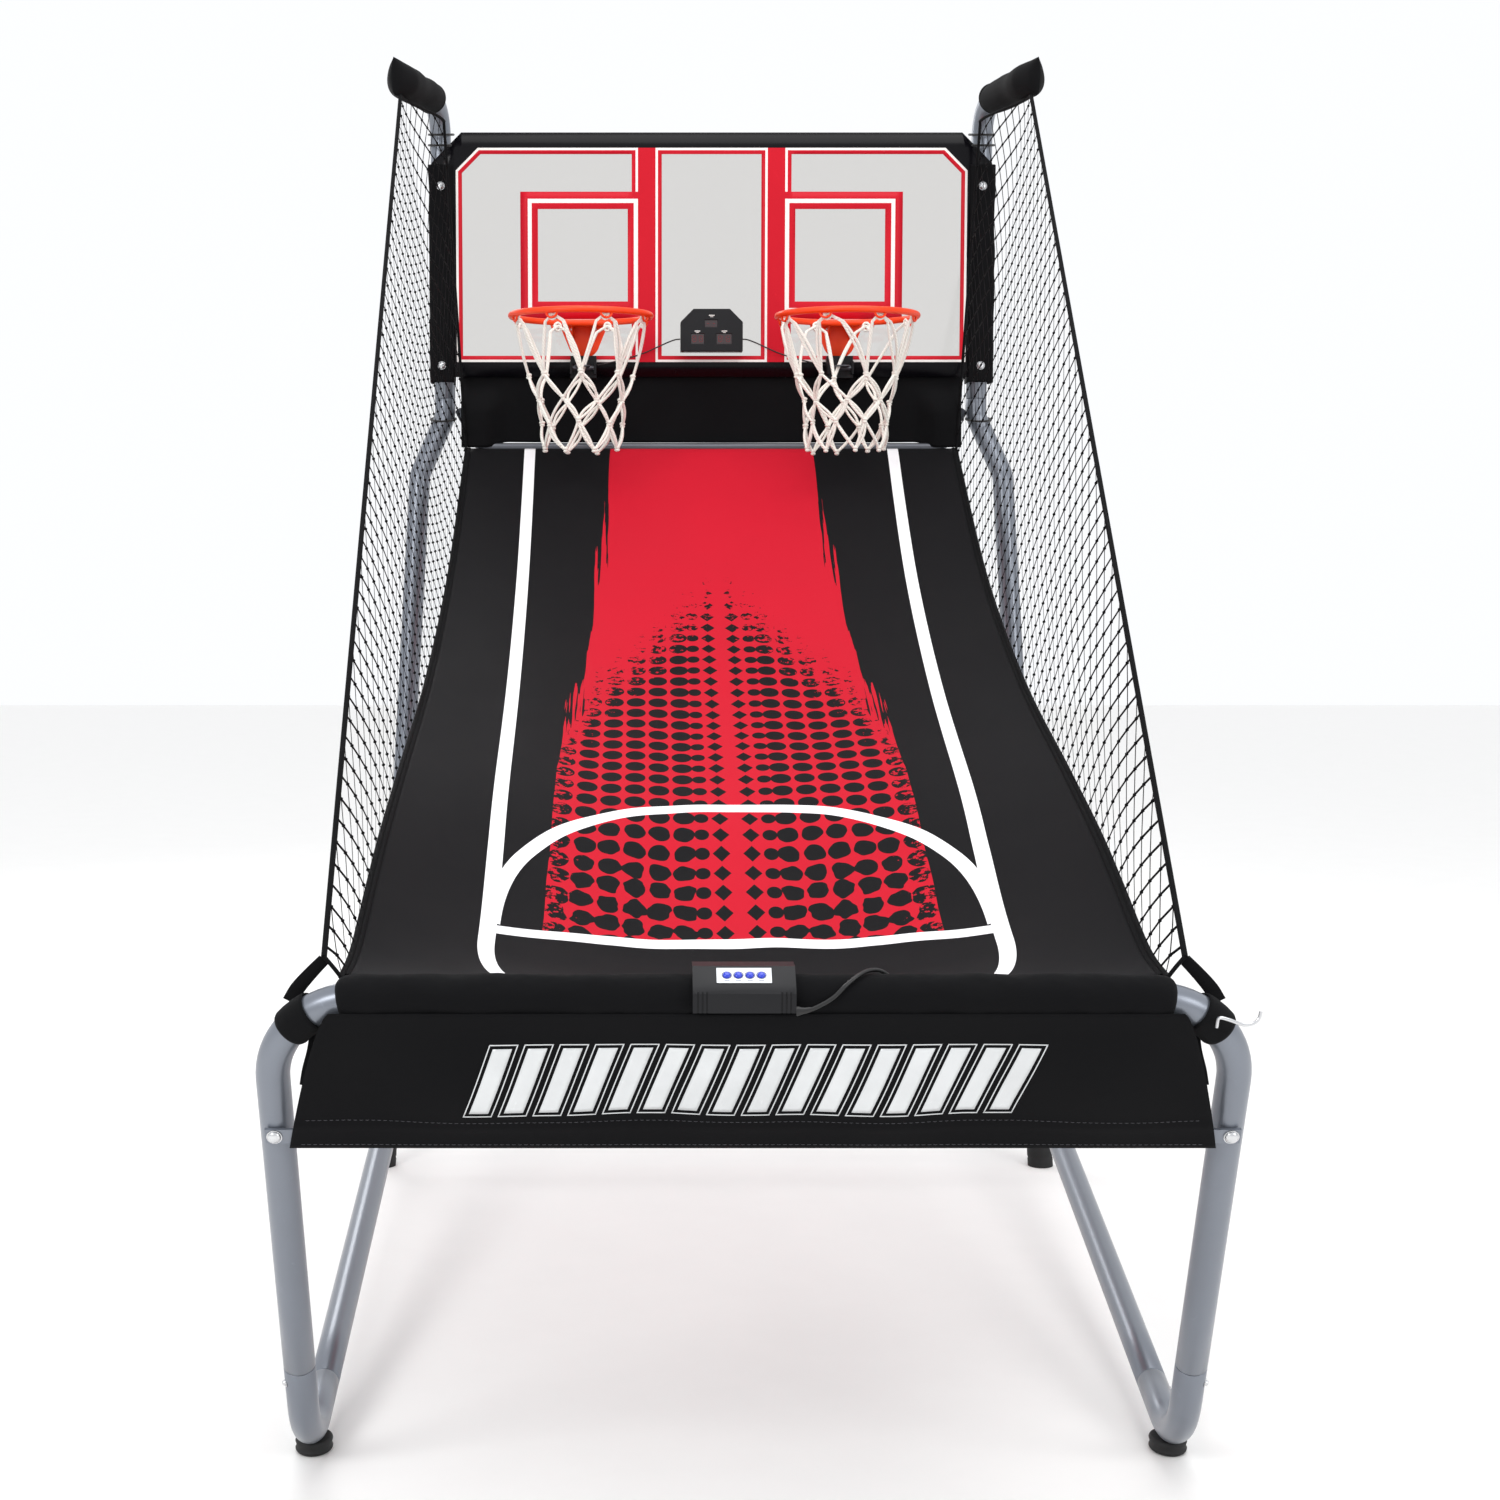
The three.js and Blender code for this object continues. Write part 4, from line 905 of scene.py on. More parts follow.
def bolt_mesh(bm, head, direction, radius, length):
    """A domed head on a washer, its shank, and a nut at the far end."""
    r = radius
    turned(bm, [(0, r * 1.10), (r * 0.9, r * 0.98), (r * 1.5, r * 0.68), (r * 1.9, r * 0.20),
                (r * 1.92, 0), (0, 0)], head + direction * r * 0.28, direction, 28)
    turned(bm, [(r, 0), (r * 2.2, 0), (r * 2.25, r * 0.1), (r * 2.2, r * 0.25), (r, r * 0.25)],
           head, direction, 28)
    turned(bm, [(0, 0), (r * 0.97, 0), (r * 0.97, -length), (r * 0.8, -length - r * 0.3),
                (0, -length - r * 0.3)], head, direction, 20)
    far = head - direction * (length - r * 0.1)
    nut = [(r * 1.9 * math.cos(math.radians(60 * k)), r * 1.9 * math.sin(math.radians(60 * k)))
           for k in range(6)]
    slab(bm, nut, r * 1.3, turn_to(direction, far), r * 0.18)


def bolt_piece(name, node, head, direction, radius, length, body):
    bm = bmesh.new()
    bolt_mesh(bm, head, direction, radius, length)
    return finish_piece(name, bm, ZINC, body, (node,))


def elbow_pad(name):
    """A rounded rubber foot moulded to the underside of the elbow."""
    low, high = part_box(f"front_foot_{name}")
    middle = (Vector(low) + Vector(high)) / 2
    bm = bmesh.new()
    oval = [(0.0245 * math.cos(a), 0.0310 * math.sin(a)) for a in angles(40)[:-1]]
    slab(bm, oval, 0.0185, Matrix.Translation((middle.x, middle.y, 0.0)))
    rims = [e for e in bm.edges if abs(e.verts[0].co.z - e.verts[1].co.z) < 1e-6]
    bmesh.ops.bevel(bm, geom=rims, offset=0.0045, offset_type="OFFSET", segments=4,
                    affect="EDGES", profile=0.5, material=-1, clamp_overlap=True)
    for z in (0.0065, 0.0105):
        slice_at(bm, (0, 0, z), UP)
    groove = [v for v in bm.verts if 0.0064 < v.co.z < 0.0106]
    bmesh.ops.scale(bm, verts=groove, vec=(0.95, 0.96, 1.0), space=Matrix.Translation(-middle))
    finish_piece(f"elbow_pad_{name}", bm, RUBBER, FRONT, (f"front_foot_{name}",))


for name, side in SIDES:
    out = ACROSS * side
    leg_spot = on_leg(side, PIVOT[2])
    inside = PIVOT[0] - TUBE_R - 0.009
    bm = bmesh.new()
    bolt_mesh(bm, leg_spot + out * (TUBE_R + 0.001), out, 0.004, leg_spot.x * side + TUBE_R - inside)
    middle = (leg_spot.x * side - TUBE_R + PIVOT[0] + TUBE_R) / 2
    turned(bm, [(0.0045, -0.0016), (0.0088, -0.0016), (0.009, 0), (0.0088, 0.0016),
                (0.0045, 0.0016), (0.0045, -0.0016)],
           Vector((side * middle, leg_spot.y, leg_spot.z)), out, 24)
    finish_piece(f"fold_bolt_{name}", bm, ZINC, FRONT, (f"pivot_bolt_{name}",))
    head = on_front_leg(side, HEM_Z) + OFF_LEGS * (TUBE_R + 0.0007 + HEM_THICK)
    bolt_piece(f"hem_bolt_{name}", f"apron_bolt_{name}", head, OFF_LEGS, 0.0042, 0.050, FRONT)
    for level, z in BOLT_ZS:
        head = at(side * BOLT_X, COVER["front"] - 0.0005, z)
        bolt_piece(f"post_bolt_{level}_{name}", f"board_bolt_{level}_{name}", head, TO_PLAYER,
                   0.0036, COVER["back"] - COVER["front"] + 0.005, REAR)

    # rubber cup on the rear leg, cut level with the floor
    bm = bmesh.new()
    R = TUBE_R
    direction = (mirrored(SHOULDER, side) - mirrored(REAR_FOOT, side)).normalized()
    turned(bm, [(0, -0.014), (R + 0.0032, -0.014), (R + 0.0040, -0.008), (R + 0.0040, 0.008),
                (R + 0.0032, 0.010), (R + 0.0032, 0.012), (R + 0.0040, 0.014), (R + 0.0038, 0.028),
                (R + 0.0030, 0.036), (R + 0.0016, 0.038), (R + 0.0003, 0.0375), (R + 0.0003, -0.0003),
                (0, -0.0003)], mirrored(REAR_FOOT, side), direction, 40)
    slice_at(bm, (0, 0, 0), UP, clear_inner=True)
    bmesh.ops.holes_fill(bm, edges=[e for e in bm.edges if e.is_boundary], sides=0)
    finish_piece(f"leg_cup_{name}", bm, RUBBER, REAR, (f"rear_foot_{name}",))
    elbow_pad(name)


# ------------------------------------------------------------------ soft pieces

def ruffle(point, scale, amount, seed=0.0):
    """How far cloth stands off at a point: broad, soft wrinkles."""
    return amount * noise.noise(Vector((point.x * scale, point.y * scale, point.z * scale + seed)))


def hood_line(side):
    """Where a hood lies: from its mouth past the post's tip."""
    path = dense(pole_path(side), 0.006)
    total = measure(path)
    line = stretch(path, total - HOOD_LENGTH, total - 0.001)
    ahead = (line[-1] - line[-2]).normalized()
    return line + [line[-1] + ahead * step for step in (0.004, 0.008, 0.010)]


def hood_piece(name, side):
    """A sewn hood on the post's forward arm: open behind, its end closed by an upright seam."""
    line = hood_line(side)
    count = len(line)
    radii, shapes = [], []
    for i in range(count):
        t = i / (count - 1)
        closing = max(0.0, (t - 0.76) / 0.24)
        radii.append(HOOD_R - 0.0010 + 0.0030 * t)
        shapes.append((max(0.09, 1.0 - 0.93 * closing ** 1.3), 1.0 + 0.06 * closing))
    bm = bmesh.new()
    sweep(bm, line, radii, 40, shape=shapes)
    mouth = min((f for f in bm.faces if len(f.verts) > 4),
                key=lambda f: (f.calc_center_median() - line[0]).length)
    bmesh.ops.delete(bm, geom=[mouth], context="FACES_ONLY")
    for vert in bm.verts:
        centre = min(line, key=lambda p: (p - vert.co).length_squared)
        out = (vert.co - centre).normalized()
        vert.co += out * (ruffle(vert.co, 13, 0.0050, side) + 0.0008)
    bmesh.ops.recalc_face_normals(bm, faces=bm.faces[:])
    piece = finish_piece(name, bm, CLOTH, REAR, (f"pole_{name}",), sharp=60)
    add_solidify(piece, 0.0016)
    round(measure(line), 3)
    # its bound mouth
    bm = bmesh.new()
    sweep(bm, line[:3], [HOOD_R - 0.0004, HOOD_R + 0.0004, HOOD_R - 0.0004], 40, capped=False)
    add_solidify(finish_piece(f"{name}_binding", bm, WEBBING, REAR), 0.0018)


for name, side in SIDES:
    hood_piece(f"hood_{name}", side)


def sleeve_piece(name, side):
    """The cloth sleeve that wraps a post and the board's edge, open where the board enters."""
    half, front, back = COVER["half"], COVER["front"] + 0.0008, COVER["back"] - 0.0008
    slot = BOARD["front"] + 0.004 + 0.0015
    r = 0.010
    inner = half - 0.0008
    tight = r * 0.6
    trace = [(-inner, slot), *arc((-inner + r, back - r), r, 180, 90, 6),
             *arc((inner - r, back - r), r, 90, 0, 6),
             *arc((inner - tight, front + tight), tight, 0, -90, 6),
             (0.0, front - 0.0006), (-inner, front)]
    lengths = [0.0]
    for (x0, y0), (x1, y1) in zip(trace, trace[1:]):
        lengths.append(lengths[-1] + math.hypot(x1 - x0, y1 - y0))

    def spot(u, v):
        run = u * lengths[-1]
        k = max(i for i in range(len(trace) - 1) if lengths[i] <= run + 1e-9)
        share = (run - lengths[k]) / (lengths[k + 1] - lengths[k])
        x, y = mix(trace[k][0], trace[k + 1][0], share), mix(trace[k][1], trace[k + 1][1], share)
        place = at(side * (BOLT_X + x), y, mix(COVER["bottom"], COVER["top"], v))
        crumple = 1.0 if u < 0.75 else 0.35
        away = ruffle(place, 17, 0.0030, side * 3) + ruffle(place, 55, 0.0011, side)
        middle = at(side * BOLT_X, (front + back) / 2, place.z)
        return place + (place - middle).normalized() * (away * crumple - 0.0006)
    bm = bmesh.new()
    sheet_mesh(bm, 56, 84, spot, lambda u, v: (u * lengths[-1], v * SLEEVE_LENGTH))
    bmesh.ops.recalc_face_normals(bm, faces=bm.faces[:])
    piece = finish_piece(f"sleeve_{name}", bm, CLOTH, REAR, (f"pole_cover_{name}",),
                         sharp=70)
    add_solidify(piece, 0.0014)


for name, side in SIDES:
    sleeve_piece(name, side)


def back_cloth():
    half, low, high = 0.484, 1.384, 1.530

    def hang(u, v):
        x, z = mix(-half, half, u), mix(low, high, v)
        near_end = ease(min(max((abs(x) - 0.395) / 0.045, 0.0), 1.0))
        below = 1.0 - ease(min(max((z - 1.445) / 0.055, 0.0), 1.0))
        fold = 0.0030 * math.sin(x * 21 + 0.7) * (1 - v) + ruffle(Vector((x, 0, z)), 12, 0.004)
        gather = 0.010 * (1 - v) * abs(2 * u - 1) ** 3
        return at(x, 1.9628 + fold * 0.6 - 0.0265 * near_end * below,
                  z + gather * 0.2 - 0.012 * near_end * (1 - v))
    bm = bmesh.new()
    sheet_mesh(bm, 140, 26, hang, lambda u, v: (u * 2 * half, v * (high - low)))
    piece = finish_piece("back_cloth_band", bm, CLOTH, REAR, ("back_cloth",))
    add_solidify(piece, 0.0014, 0.0)


back_cloth()

# ------------------------------------------------------------------ ramp

ramp_edge, ramp_sag = profile(EDGE_KNOTS), profile(SAG_KNOTS)


def ramp_place(u, v, lift=0.0):
    y = mix(RAMP_START, RAMP_END, v)
    across = 2 * u - 1
    z = ramp_edge(y) - ramp_sag(y) * (1 - across * across)
    tension = 0.0022 * math.sin((across * 9 + v * 3.0)) * (1 - abs(across)) * v
    crease = ruffle(Vector((across * 0.6, y * 0.35, 0)), 9, 0.0042) * (1 - across * across)
    at_rail = ease(max(0.0, (v - 0.93) / 0.07))
    z += ramp_sag(y) * (1 - across * across) * at_rail + 0.0042 * at_rail
    return at(across * RAMP_HALF, y, z + 0.0014 + lift + (tension + crease) * (1 - at_rail))


def ramp():
    bm = bmesh.new()
    sheet_mesh(bm, 96, 190, ramp_place,
               lambda u, v: ((2 * u - 1) * RAMP_HALF, mix(RAMP_START, RAMP_END, v) + FRONT_Y))
    piece = finish_piece("ramp_cloth", bm, RAMP_PRINT, None, ("ramp",), sharp=60)
    add_solidify(piece, 0.0018, 0.0)
    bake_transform(piece)
    run = [ramp_place(0.0, k / 80) for k in range(81)]
    round(measure(run), 3)
    for name, edge in (("left", 0.0), ("right", 1.0)):
        line = [ramp_place(edge, k / 90) for k in range(91)]
        bm = bmesh.new()
        sweep(bm, line, 0.0046, 10, shape=(1.0, 0.62))
        trim = finish_piece(f"ramp_binding_{name}", bm, WEBBING, None)
        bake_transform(trim)


FOLD_START = tuple(at(0, 0.05, 0.68))
FOLD_END = tuple(at(0, 1.70, 1.20))
ramp()


# ------------------------------------------------------------------ side nets

NET_START_Y, NET_END_Y = 0.030, POLE_FOOT[1] - TUBE_R - COVER["half"] - 0.006
NET_TIP_Y = POLE_TIP[1] + 0.004
NET_LOW_X, NET_FRONT_X, NET_TIP_X, NET_POLE_X = RAMP_HALF + 0.003, 0.492, 0.568, 0.512
NET_TOP = POLE_TIP[2] - HOOD_R - 0.004
NET_RISE = BAR_Z + 0.042
NET_LIFT = 0.0044                # how far the nets' foot stands above the ramp's edge
CELL_Y, CELL_Z, CELLS = 0.042, 0.046, 72
NET_WIRE, NET_KNOT_R = 0.0041, 0.0026
HALF_ROOT = math.sqrt(0.5)


def net_limits(y):
    """Bottom height, top height and top half-width of a side net at y."""
    rise = min((y - NET_START_Y) / (NET_TIP_Y - NET_START_Y), 1.0)
    behind = max((y - NET_TIP_Y) / (NET_END_Y - NET_TIP_Y), 0.0)
    return (ramp_edge(y) + NET_LIFT, mix(NET_RISE, NET_TOP, rise),
            mix(mix(NET_FRONT_X, NET_TIP_X, rise), NET_POLE_X, ease(behind)))


def on_net(side, y, z):
    low, high, wide = net_limits(y)
    share = max(0.0, min(1.0, (z - low) / max(high - low, 1e-4)))
    slack = 0.010 * math.sin(math.pi * share) * math.sin(math.pi * min(y / 1.9, 1.0))
    return at(side * (mix(NET_LOW_X, wide, share) + 0.0015 - slack), y, z)


def side_net(name, side):
    """A knotted net on the diagonal, clipped flat and then laid from the ramp up to the slope."""
    bm = bmesh.new()
    bmesh.ops.create_grid(bm, x_segments=CELLS, y_segments=CELLS, size=CELLS / 2)
    bmesh.ops.rotate(bm, verts=bm.verts[:], matrix=Matrix.Rotation(math.radians(45), 3, "Z"))
    bmesh.ops.scale(bm, verts=bm.verts[:], vec=(CELL_Y * HALF_ROOT, CELL_Z * HALF_ROOT, 1))
    bmesh.ops.translate(bm, verts=bm.verts[:], vec=(0.96, 0.50, 0))

    for place, normal in (((0, 0, 0), (0, -1, 0)), ((NET_START_Y, 0, 0), (-1, 0, 0)),
                          ((NET_END_Y, 0, 0), (1, 0, 0))):
        slice_at(bm, place, normal, clear_outer=True)
    for vert in bm.verts:
        vert.co.y += ramp_edge(vert.co.x) + NET_LIFT
    slope = (NET_TOP - NET_RISE) / (NET_TIP_Y - NET_START_Y)
    slice_at(bm, (NET_START_Y, NET_RISE, 0), (-slope, 1, 0), clear_outer=True)
    slice_at(bm, (0, NET_TOP, 0), (0, 1, 0), clear_outer=True)
    for vert in bm.verts:
        y, z = vert.co.x, vert.co.y
        wave = Vector((y * 7, z * 7, side))
        y2 = min(max(y + 0.004 * noise.noise(wave), NET_START_Y), NET_END_Y)
        z2 = z + 0.004 * noise.noise(wave + Vector((5, 5, 5)))
        vert.co = on_net(side, y2, z2)
    knots = [v.co.copy() for v in bm.verts if len(v.link_edges) == 4]
    bmesh.ops.wireframe(bm, faces=bm.faces[:], thickness=NET_WIRE, use_replace=True,
                        use_even_offset=False, use_boundary=True)
    for place in knots:
        bmesh.ops.create_icosphere(bm, subdivisions=1, radius=NET_KNOT_R,
                                   matrix=Matrix.Translation(place))
    piece = finish_piece(f"goal_net_{name}", bm, BLACK_NET, None, (f"side_net_{name}",),
                         sharp=80, merge=False)
    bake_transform(piece)

    # bound edges: along the slope and top, along the ramp, and down the post
    def along(start, end, level, steps, first=0):
        ys = [mix(start, end, t / steps) for t in range(first, steps + 1)]
        return [on_net(side, y, net_limits(y)[level]) for y in ys]

    def upright(y, top, steps):
        return [on_net(side, y, mix(net_limits(y)[0], top, t / steps)) for t in range(steps + 1)]
    slope_line = along(NET_START_Y, NET_TIP_Y, 1, 60) + along(NET_TIP_Y, NET_END_Y, 1, 12, 1)
    post_line, front_line = upright(NET_END_Y, NET_TOP, 30), upright(NET_START_Y, NET_RISE, 4)
    foot_line = along(NET_START_Y, NET_END_Y, 0, 80)
    for label, line, radius in (("slope", slope_line, 0.0036), ("post", post_line, 0.0040),
                                ("foot", foot_line, 0.0034), ("front", front_line, 0.0036)):
        bm = bmesh.new()
        sweep(bm, line, radius, 10, shape=(1.0, 0.7))
        edge = finish_piece(f"net_{label}_binding_{name}", bm, WEBBING, None)
        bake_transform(edge)


for name, side in SIDES:
    side_net(name, side)


def post_ties(name, side):
    """Loops that lace the net's rear edge to the post."""
    bm = bmesh.new()
    for z in (1.43, 1.955, 1.975):
        centre = at(side * (POLE_FOOT[0] + 0.003), POLE_FOOT[1] - 0.012, z)
        ring = [centre + Vector((0.0238 * math.cos(a), 0.034 * math.sin(a), 0.006 * math.sin(a)))
                for a in angles(28)]
        sweep(bm, ring, 0.0022, 8)
    return finish_piece(f"post_ties_{name}", bm, BLACK_CORD, REAR)


for name, side in SIDES:
    post_ties(name, side)


# ------------------------------------------------------------------ backboard

def board_print():
    """Paint on the board's face: black border, red and white lines, bands and two targets."""
    half, bottom, top, chamfer = BOARD["half"], BOARD["bottom"], BOARD["top"], BOARD["chamfer"]
    face_y = BOARD["front"] - 0.00035
    border, white, red = 0.029, 0.0045, 0.0075
    band_in, band_out = 0.108, 0.142
    xs = {half}
    zs = {bottom, top}
    lines = (border, border + white, border + white + red)
    side_border, corner_border = 0.018, 0.014
    xs |= {half - side_border - d for d in lines}
    zs |= {bottom + d for d in lines} | {top - d for d in lines}
    xs |= {band_in, band_in - white, band_in - white - red, band_out, band_out + white,
           band_out + white + red}
    squares = ((0.369, 1.864, 1.621), (0.3545, 1.8505, 1.6345), (0.347, 1.8425, 1.6425),
               (0.335, 1.831, 1.655))
    inner_edges = (band_out, 0.142, 0.150, 0.1618)
    xs |= {s[0] for s in squares} | set(inner_edges)
    zs |= {z for s in squares for z in s[1:]}
    bm = bmesh.new()
    bmesh.ops.create_grid(bm, x_segments=1, y_segments=1, size=0.5)
    for vert in bm.verts:
        vert.co = (vert.co.x * 2 * half, mix(bottom, top, vert.co.y + 0.5), 0)

    def score(place, normal, clear=False):
        slice_at(bm, place, normal, 1e-7, clear_outer=clear)
    for x in sorted(xs - {half}):
        for side in (-1, 1):
            score((side * x, 0, 0), (1, 0, 0))
    for z in sorted(zs - {bottom, top}):
        score((0, z, 0), (0, 1, 0))
    for inset in (0.0,) + lines:
        for side in (-1, 1):
            step = (inset + (corner_border if inset else 0.0)) * HALF_ROOT
            place = (side * (half - chamfer) - side * step, top - step, 0)
            score(place, (side * HALF_ROOT, HALF_ROOT, 0), clear=inset == 0.0)

    def depth_in(x, z):
        corner = (half - chamfer - x + top - z) * HALF_ROOT - corner_border
        return min(half - side_border - x, z - bottom, top - z, corner)

    def paint(x, z):
        x = abs(x)
        inside = depth_in(x, z)
        if inside < border:
            return 0
        if band_in < x < band_out:
            return 1
        for k, (s, inner) in enumerate(zip(squares, inner_edges)):
            nested = inner < x < s[0] and s[2] < z < s[1]
            if not nested:
                if k == 0:
                    break
                return (1, 2, 1)[k - 1]
        else:
            return None
        panel = min(inside - border, band_in - x if x < band_in else x - band_out)
        if panel < white:
            return 2
        if panel < white + red:
            return 1
        return None
    bare = []
    for face in bm.faces:
        centre = face.calc_center_median()
        coat = paint(centre.x, centre.y)
        if coat is None:
            bare.append(face)
        else:
            face.material_index = coat
    bmesh.ops.delete(bm, geom=bare, context="FACES")
    bmesh.ops.transform(bm, matrix=Matrix.Translation(at(0, face_y, 0))
                        @ UPRIGHT, verts=bm.verts[:])
    piece = finish_piece("board_print", bm, [PRINT_BLACK, PRINT_RED, PRINT_WHITE], REAR)
    add_solidify(piece, 0.00025, 0.0)


NODES["backboard"].data.materials.clear()
NODES["backboard"].data.materials.append(CLEAR)
board_print()


# ------------------------------------------------------------------ hoops

def rim_piece(name, side):
    x, y, z, radius, rod = (HOOP[k] for k in ("x", "y", "z", "radius", "rod"))
    wall_y = BOARD["front"] - 0.0003
    centre = at(side * x, y, z)
    bm = bmesh.new()
    ring = bmesh.ops.create_circle(bm, segments=20, radius=rod, matrix=Matrix.Translation((radius, 0, 0))
                                   @ UPRIGHT)["verts"]
    edges = [e for e in bm.edges]
    bmesh.ops.spin(bm, geom=ring + edges, axis=(0, 0, 1), cent=(0, 0, 0), dvec=(0, 0, 0),
                   angle=2 * math.pi, steps=96, use_merge=True)
    bmesh.ops.translate(bm, verts=bm.verts[:], vec=centre)
    bmesh.ops.recalc_face_normals(bm, faces=bm.faces[:])
    # shield with a rounded lower edge, against the board
    low = 0.008 - 0.066
    outline = arc((0.0, low + 0.027), 0.031, -165, -15, 14) + [(0.047, 0.002), (0.047, 0.008),
                                                              (-0.047, 0.008), (-0.047, 0.002)]
    upright = Matrix.Translation(at(side * x, wall_y, z)) @ UPRIGHT
    slab(bm, outline, 0.003, upright, 0.0006)
    near = y + radius - 0.001
    tongue = [(-0.024, near), (0.024, near), (0.044, wall_y - 0.001), (-0.044, wall_y - 0.001)]
    slab(bm, tongue, 0.004, Matrix.Translation(at(side * x, 0, z - 0.001)), 0.0008)
    rib = [(near + 0.010, z + 0.001), (wall_y - 0.001, z + 0.001), (wall_y - 0.001, z - 0.030)]
    stand = Matrix(((0, 0, 1, 0), (1, 0, 0, 0), (0, 1, 0, 0), (0, 0, 0, 1)))
    for offset in (-0.022, 0.019):
        slab(bm, rib, 0.003, Matrix.Translation((side * x + offset, FRONT_Y, 0)) @ stand, 0.0005)
    # small wire loops welded under the ring carry the net
    for k in range(8):
        spoke = Matrix.Rotation(math.radians(45 * k + 22.5), 3, "Z") @ Vector((radius, 0, 0))
        tangent = UP.cross(spoke).normalized()
        loop = [centre + spoke + tangent * 0.011 * math.cos(a) - UP * (rod * 0.6 + 0.0105 * math.sin(a))
                for a in angles(12, math.pi)]
        sweep(bm, loop, 0.0021, 8)
    finish_piece(f"hoop_{name}", bm, ORANGE, REAR, (f"rim_{name}",), sharp=50)
    # two screws through the shield
    bm = bmesh.new()
    for dx in (-0.022, 0.022):
        turned(bm, [(0, 0.0026), (0.0022, 0.0023), (0.0036, 0.0010), (0.0038, 0), (0, 0)],
               at(side * x + dx, wall_y - 0.003, z - 0.006), TO_PLAYER, 20)
    finish_piece(f"hoop_screws_{name}", bm, ZINC, REAR)


ROW_DEPTHS = (0.007, 0.110, 0.157, 0.199, 0.246)
ROW_RADII = (0.124, 0.097, 0.081, 0.076, 0.072)
NET_LOOPS = 8


def hoop_net(name, side, rng):
    """A knotted cord net: doubled cords run from the rim's loops down through rows of knots."""
    centre = at(side * HOOP["x"], HOOP["y"], HOOP["z"])
    twisted = side > 0
    knots = {}

    def spot(turn, depth, radius):
        angle = 2 * math.pi * turn / NET_LOOPS + (2.2 * depth if twisted else 0.0)
        squash = 1.0 - (0.22 * depth / 0.246 if twisted else 0.0)
        return centre + Vector((radius * math.cos(angle), radius * squash * math.sin(angle), -depth))

    def knot(turn2, row):
        """turn2 counts half spaces round the net."""
        key = (turn2 % (2 * NET_LOOPS), row)
        if key not in knots:
            wander = (0.10 if twisted else 0.045) if row else 0.0
            knots[key] = (rng.uniform(-wander, wander), rng.uniform(-0.004, 0.004) if row else 0.0,
                          rng.uniform(-0.004, 0.003) if row else 0.0)
        dt, dz, dr = knots[key]
        return turn2 / 2 + dt, ROW_DEPTHS[row] + dz, ROW_RADII[row] + dr
    bm = bmesh.new()
    steps = 8
    for row in range(len(ROW_DEPTHS) - 1):
        for k in range(NET_LOOPS):
            for step in (-1, 1):
                upper = 2 * k + 1 + row
                a, b = knot(upper, row), knot(upper + step, row + 1)
                last = row == len(ROW_DEPTHS) - 2
                for cord in (0, 1):
                    bow = rng.uniform(-0.07, 0.07) + (0.035 if cord else -0.035)
                    line = []
                    for s in range(steps + 1):
                        t = s / steps
                        share = mix(t, t ** 2.2, 0.55) if last else t
                        if row == 0:
                            share = 0.30 * math.sqrt(min(t / 0.12, 1.0)) + 0.70 * t
                        turn = mix(a[0], b[0], share) + bow * math.sin(math.pi * t)
                        sag = 0.004 * math.sin(math.pi * t)
                        line.append(spot(turn, mix(a[1], b[1], t), mix(a[2], b[2], t) + sag * 0.4))
                    sweep(bm, line, 0.0026, 8)
    for turn2, row in list(knots):
        if row == 0:
            continue
        t, depth, radius = knot(turn2, row)
        place = spot(t, depth, radius)
        for lift, size in ((-0.0022, 0.0047), (0.0026, 0.0052)):
            matrix = Matrix.Translation(place + UP * lift) @ Matrix.Rotation(rng.uniform(0, 3), 4, "Z") \
                @ Matrix.Diagonal((1.15, 1.0, 0.72, 1.0))
            bmesh.ops.create_icosphere(bm, subdivisions=2, radius=size, matrix=matrix)
    # the eyes that hang in the rim's loops
    for k in range(NET_LOOPS):
        t, depth, radius = knot(2 * k + 1, 0)
        top = spot(t, depth, radius)
        spoke = Vector((top.x - centre.x, top.y - centre.y, 0)).normalized()
        ring = [top + UP * (0.0075 * math.sin(a) - 0.002) + spoke.cross(UP) * 0.0065 * math.cos(a)
                for a in angles(16)]
        sweep(bm, ring, 0.0025, 8)
    finish_piece(f"cord_net_{name}", bm, WHITE_CORD, REAR, (f"hoop_net_{name}",), sharp=75)


rng = random.Random(11)
for name, side in SIDES:
    rim_piece(name, side)
    hoop_net(name, side, rng)
    cad_copy(f"switch_case_{name}", [f"sensor_housing_{name}"], PLASTIC, REAR, 0.0012)
    cad_copy(f"switch_paddle_{name}", [f"sensor_lever_{name}"], DARK_RAIL, f"lever_{name}",
             0.0004)


# ------------------------------------------------------------------ score display

cad_copy("display_front", ["scorer_front"], PLASTIC, REAR, 0.0012, 3)
cad_copy("display_back", ["scorer_back"], PLASTIC, REAR, 0.0006)
cad_copy("display_window", ["scorer_lens"], LENS, REAR, 0.0003)
cad_copy("display_circuit", ["scorer_circuit_board"], CIRCUIT, REAR, 0.0002)


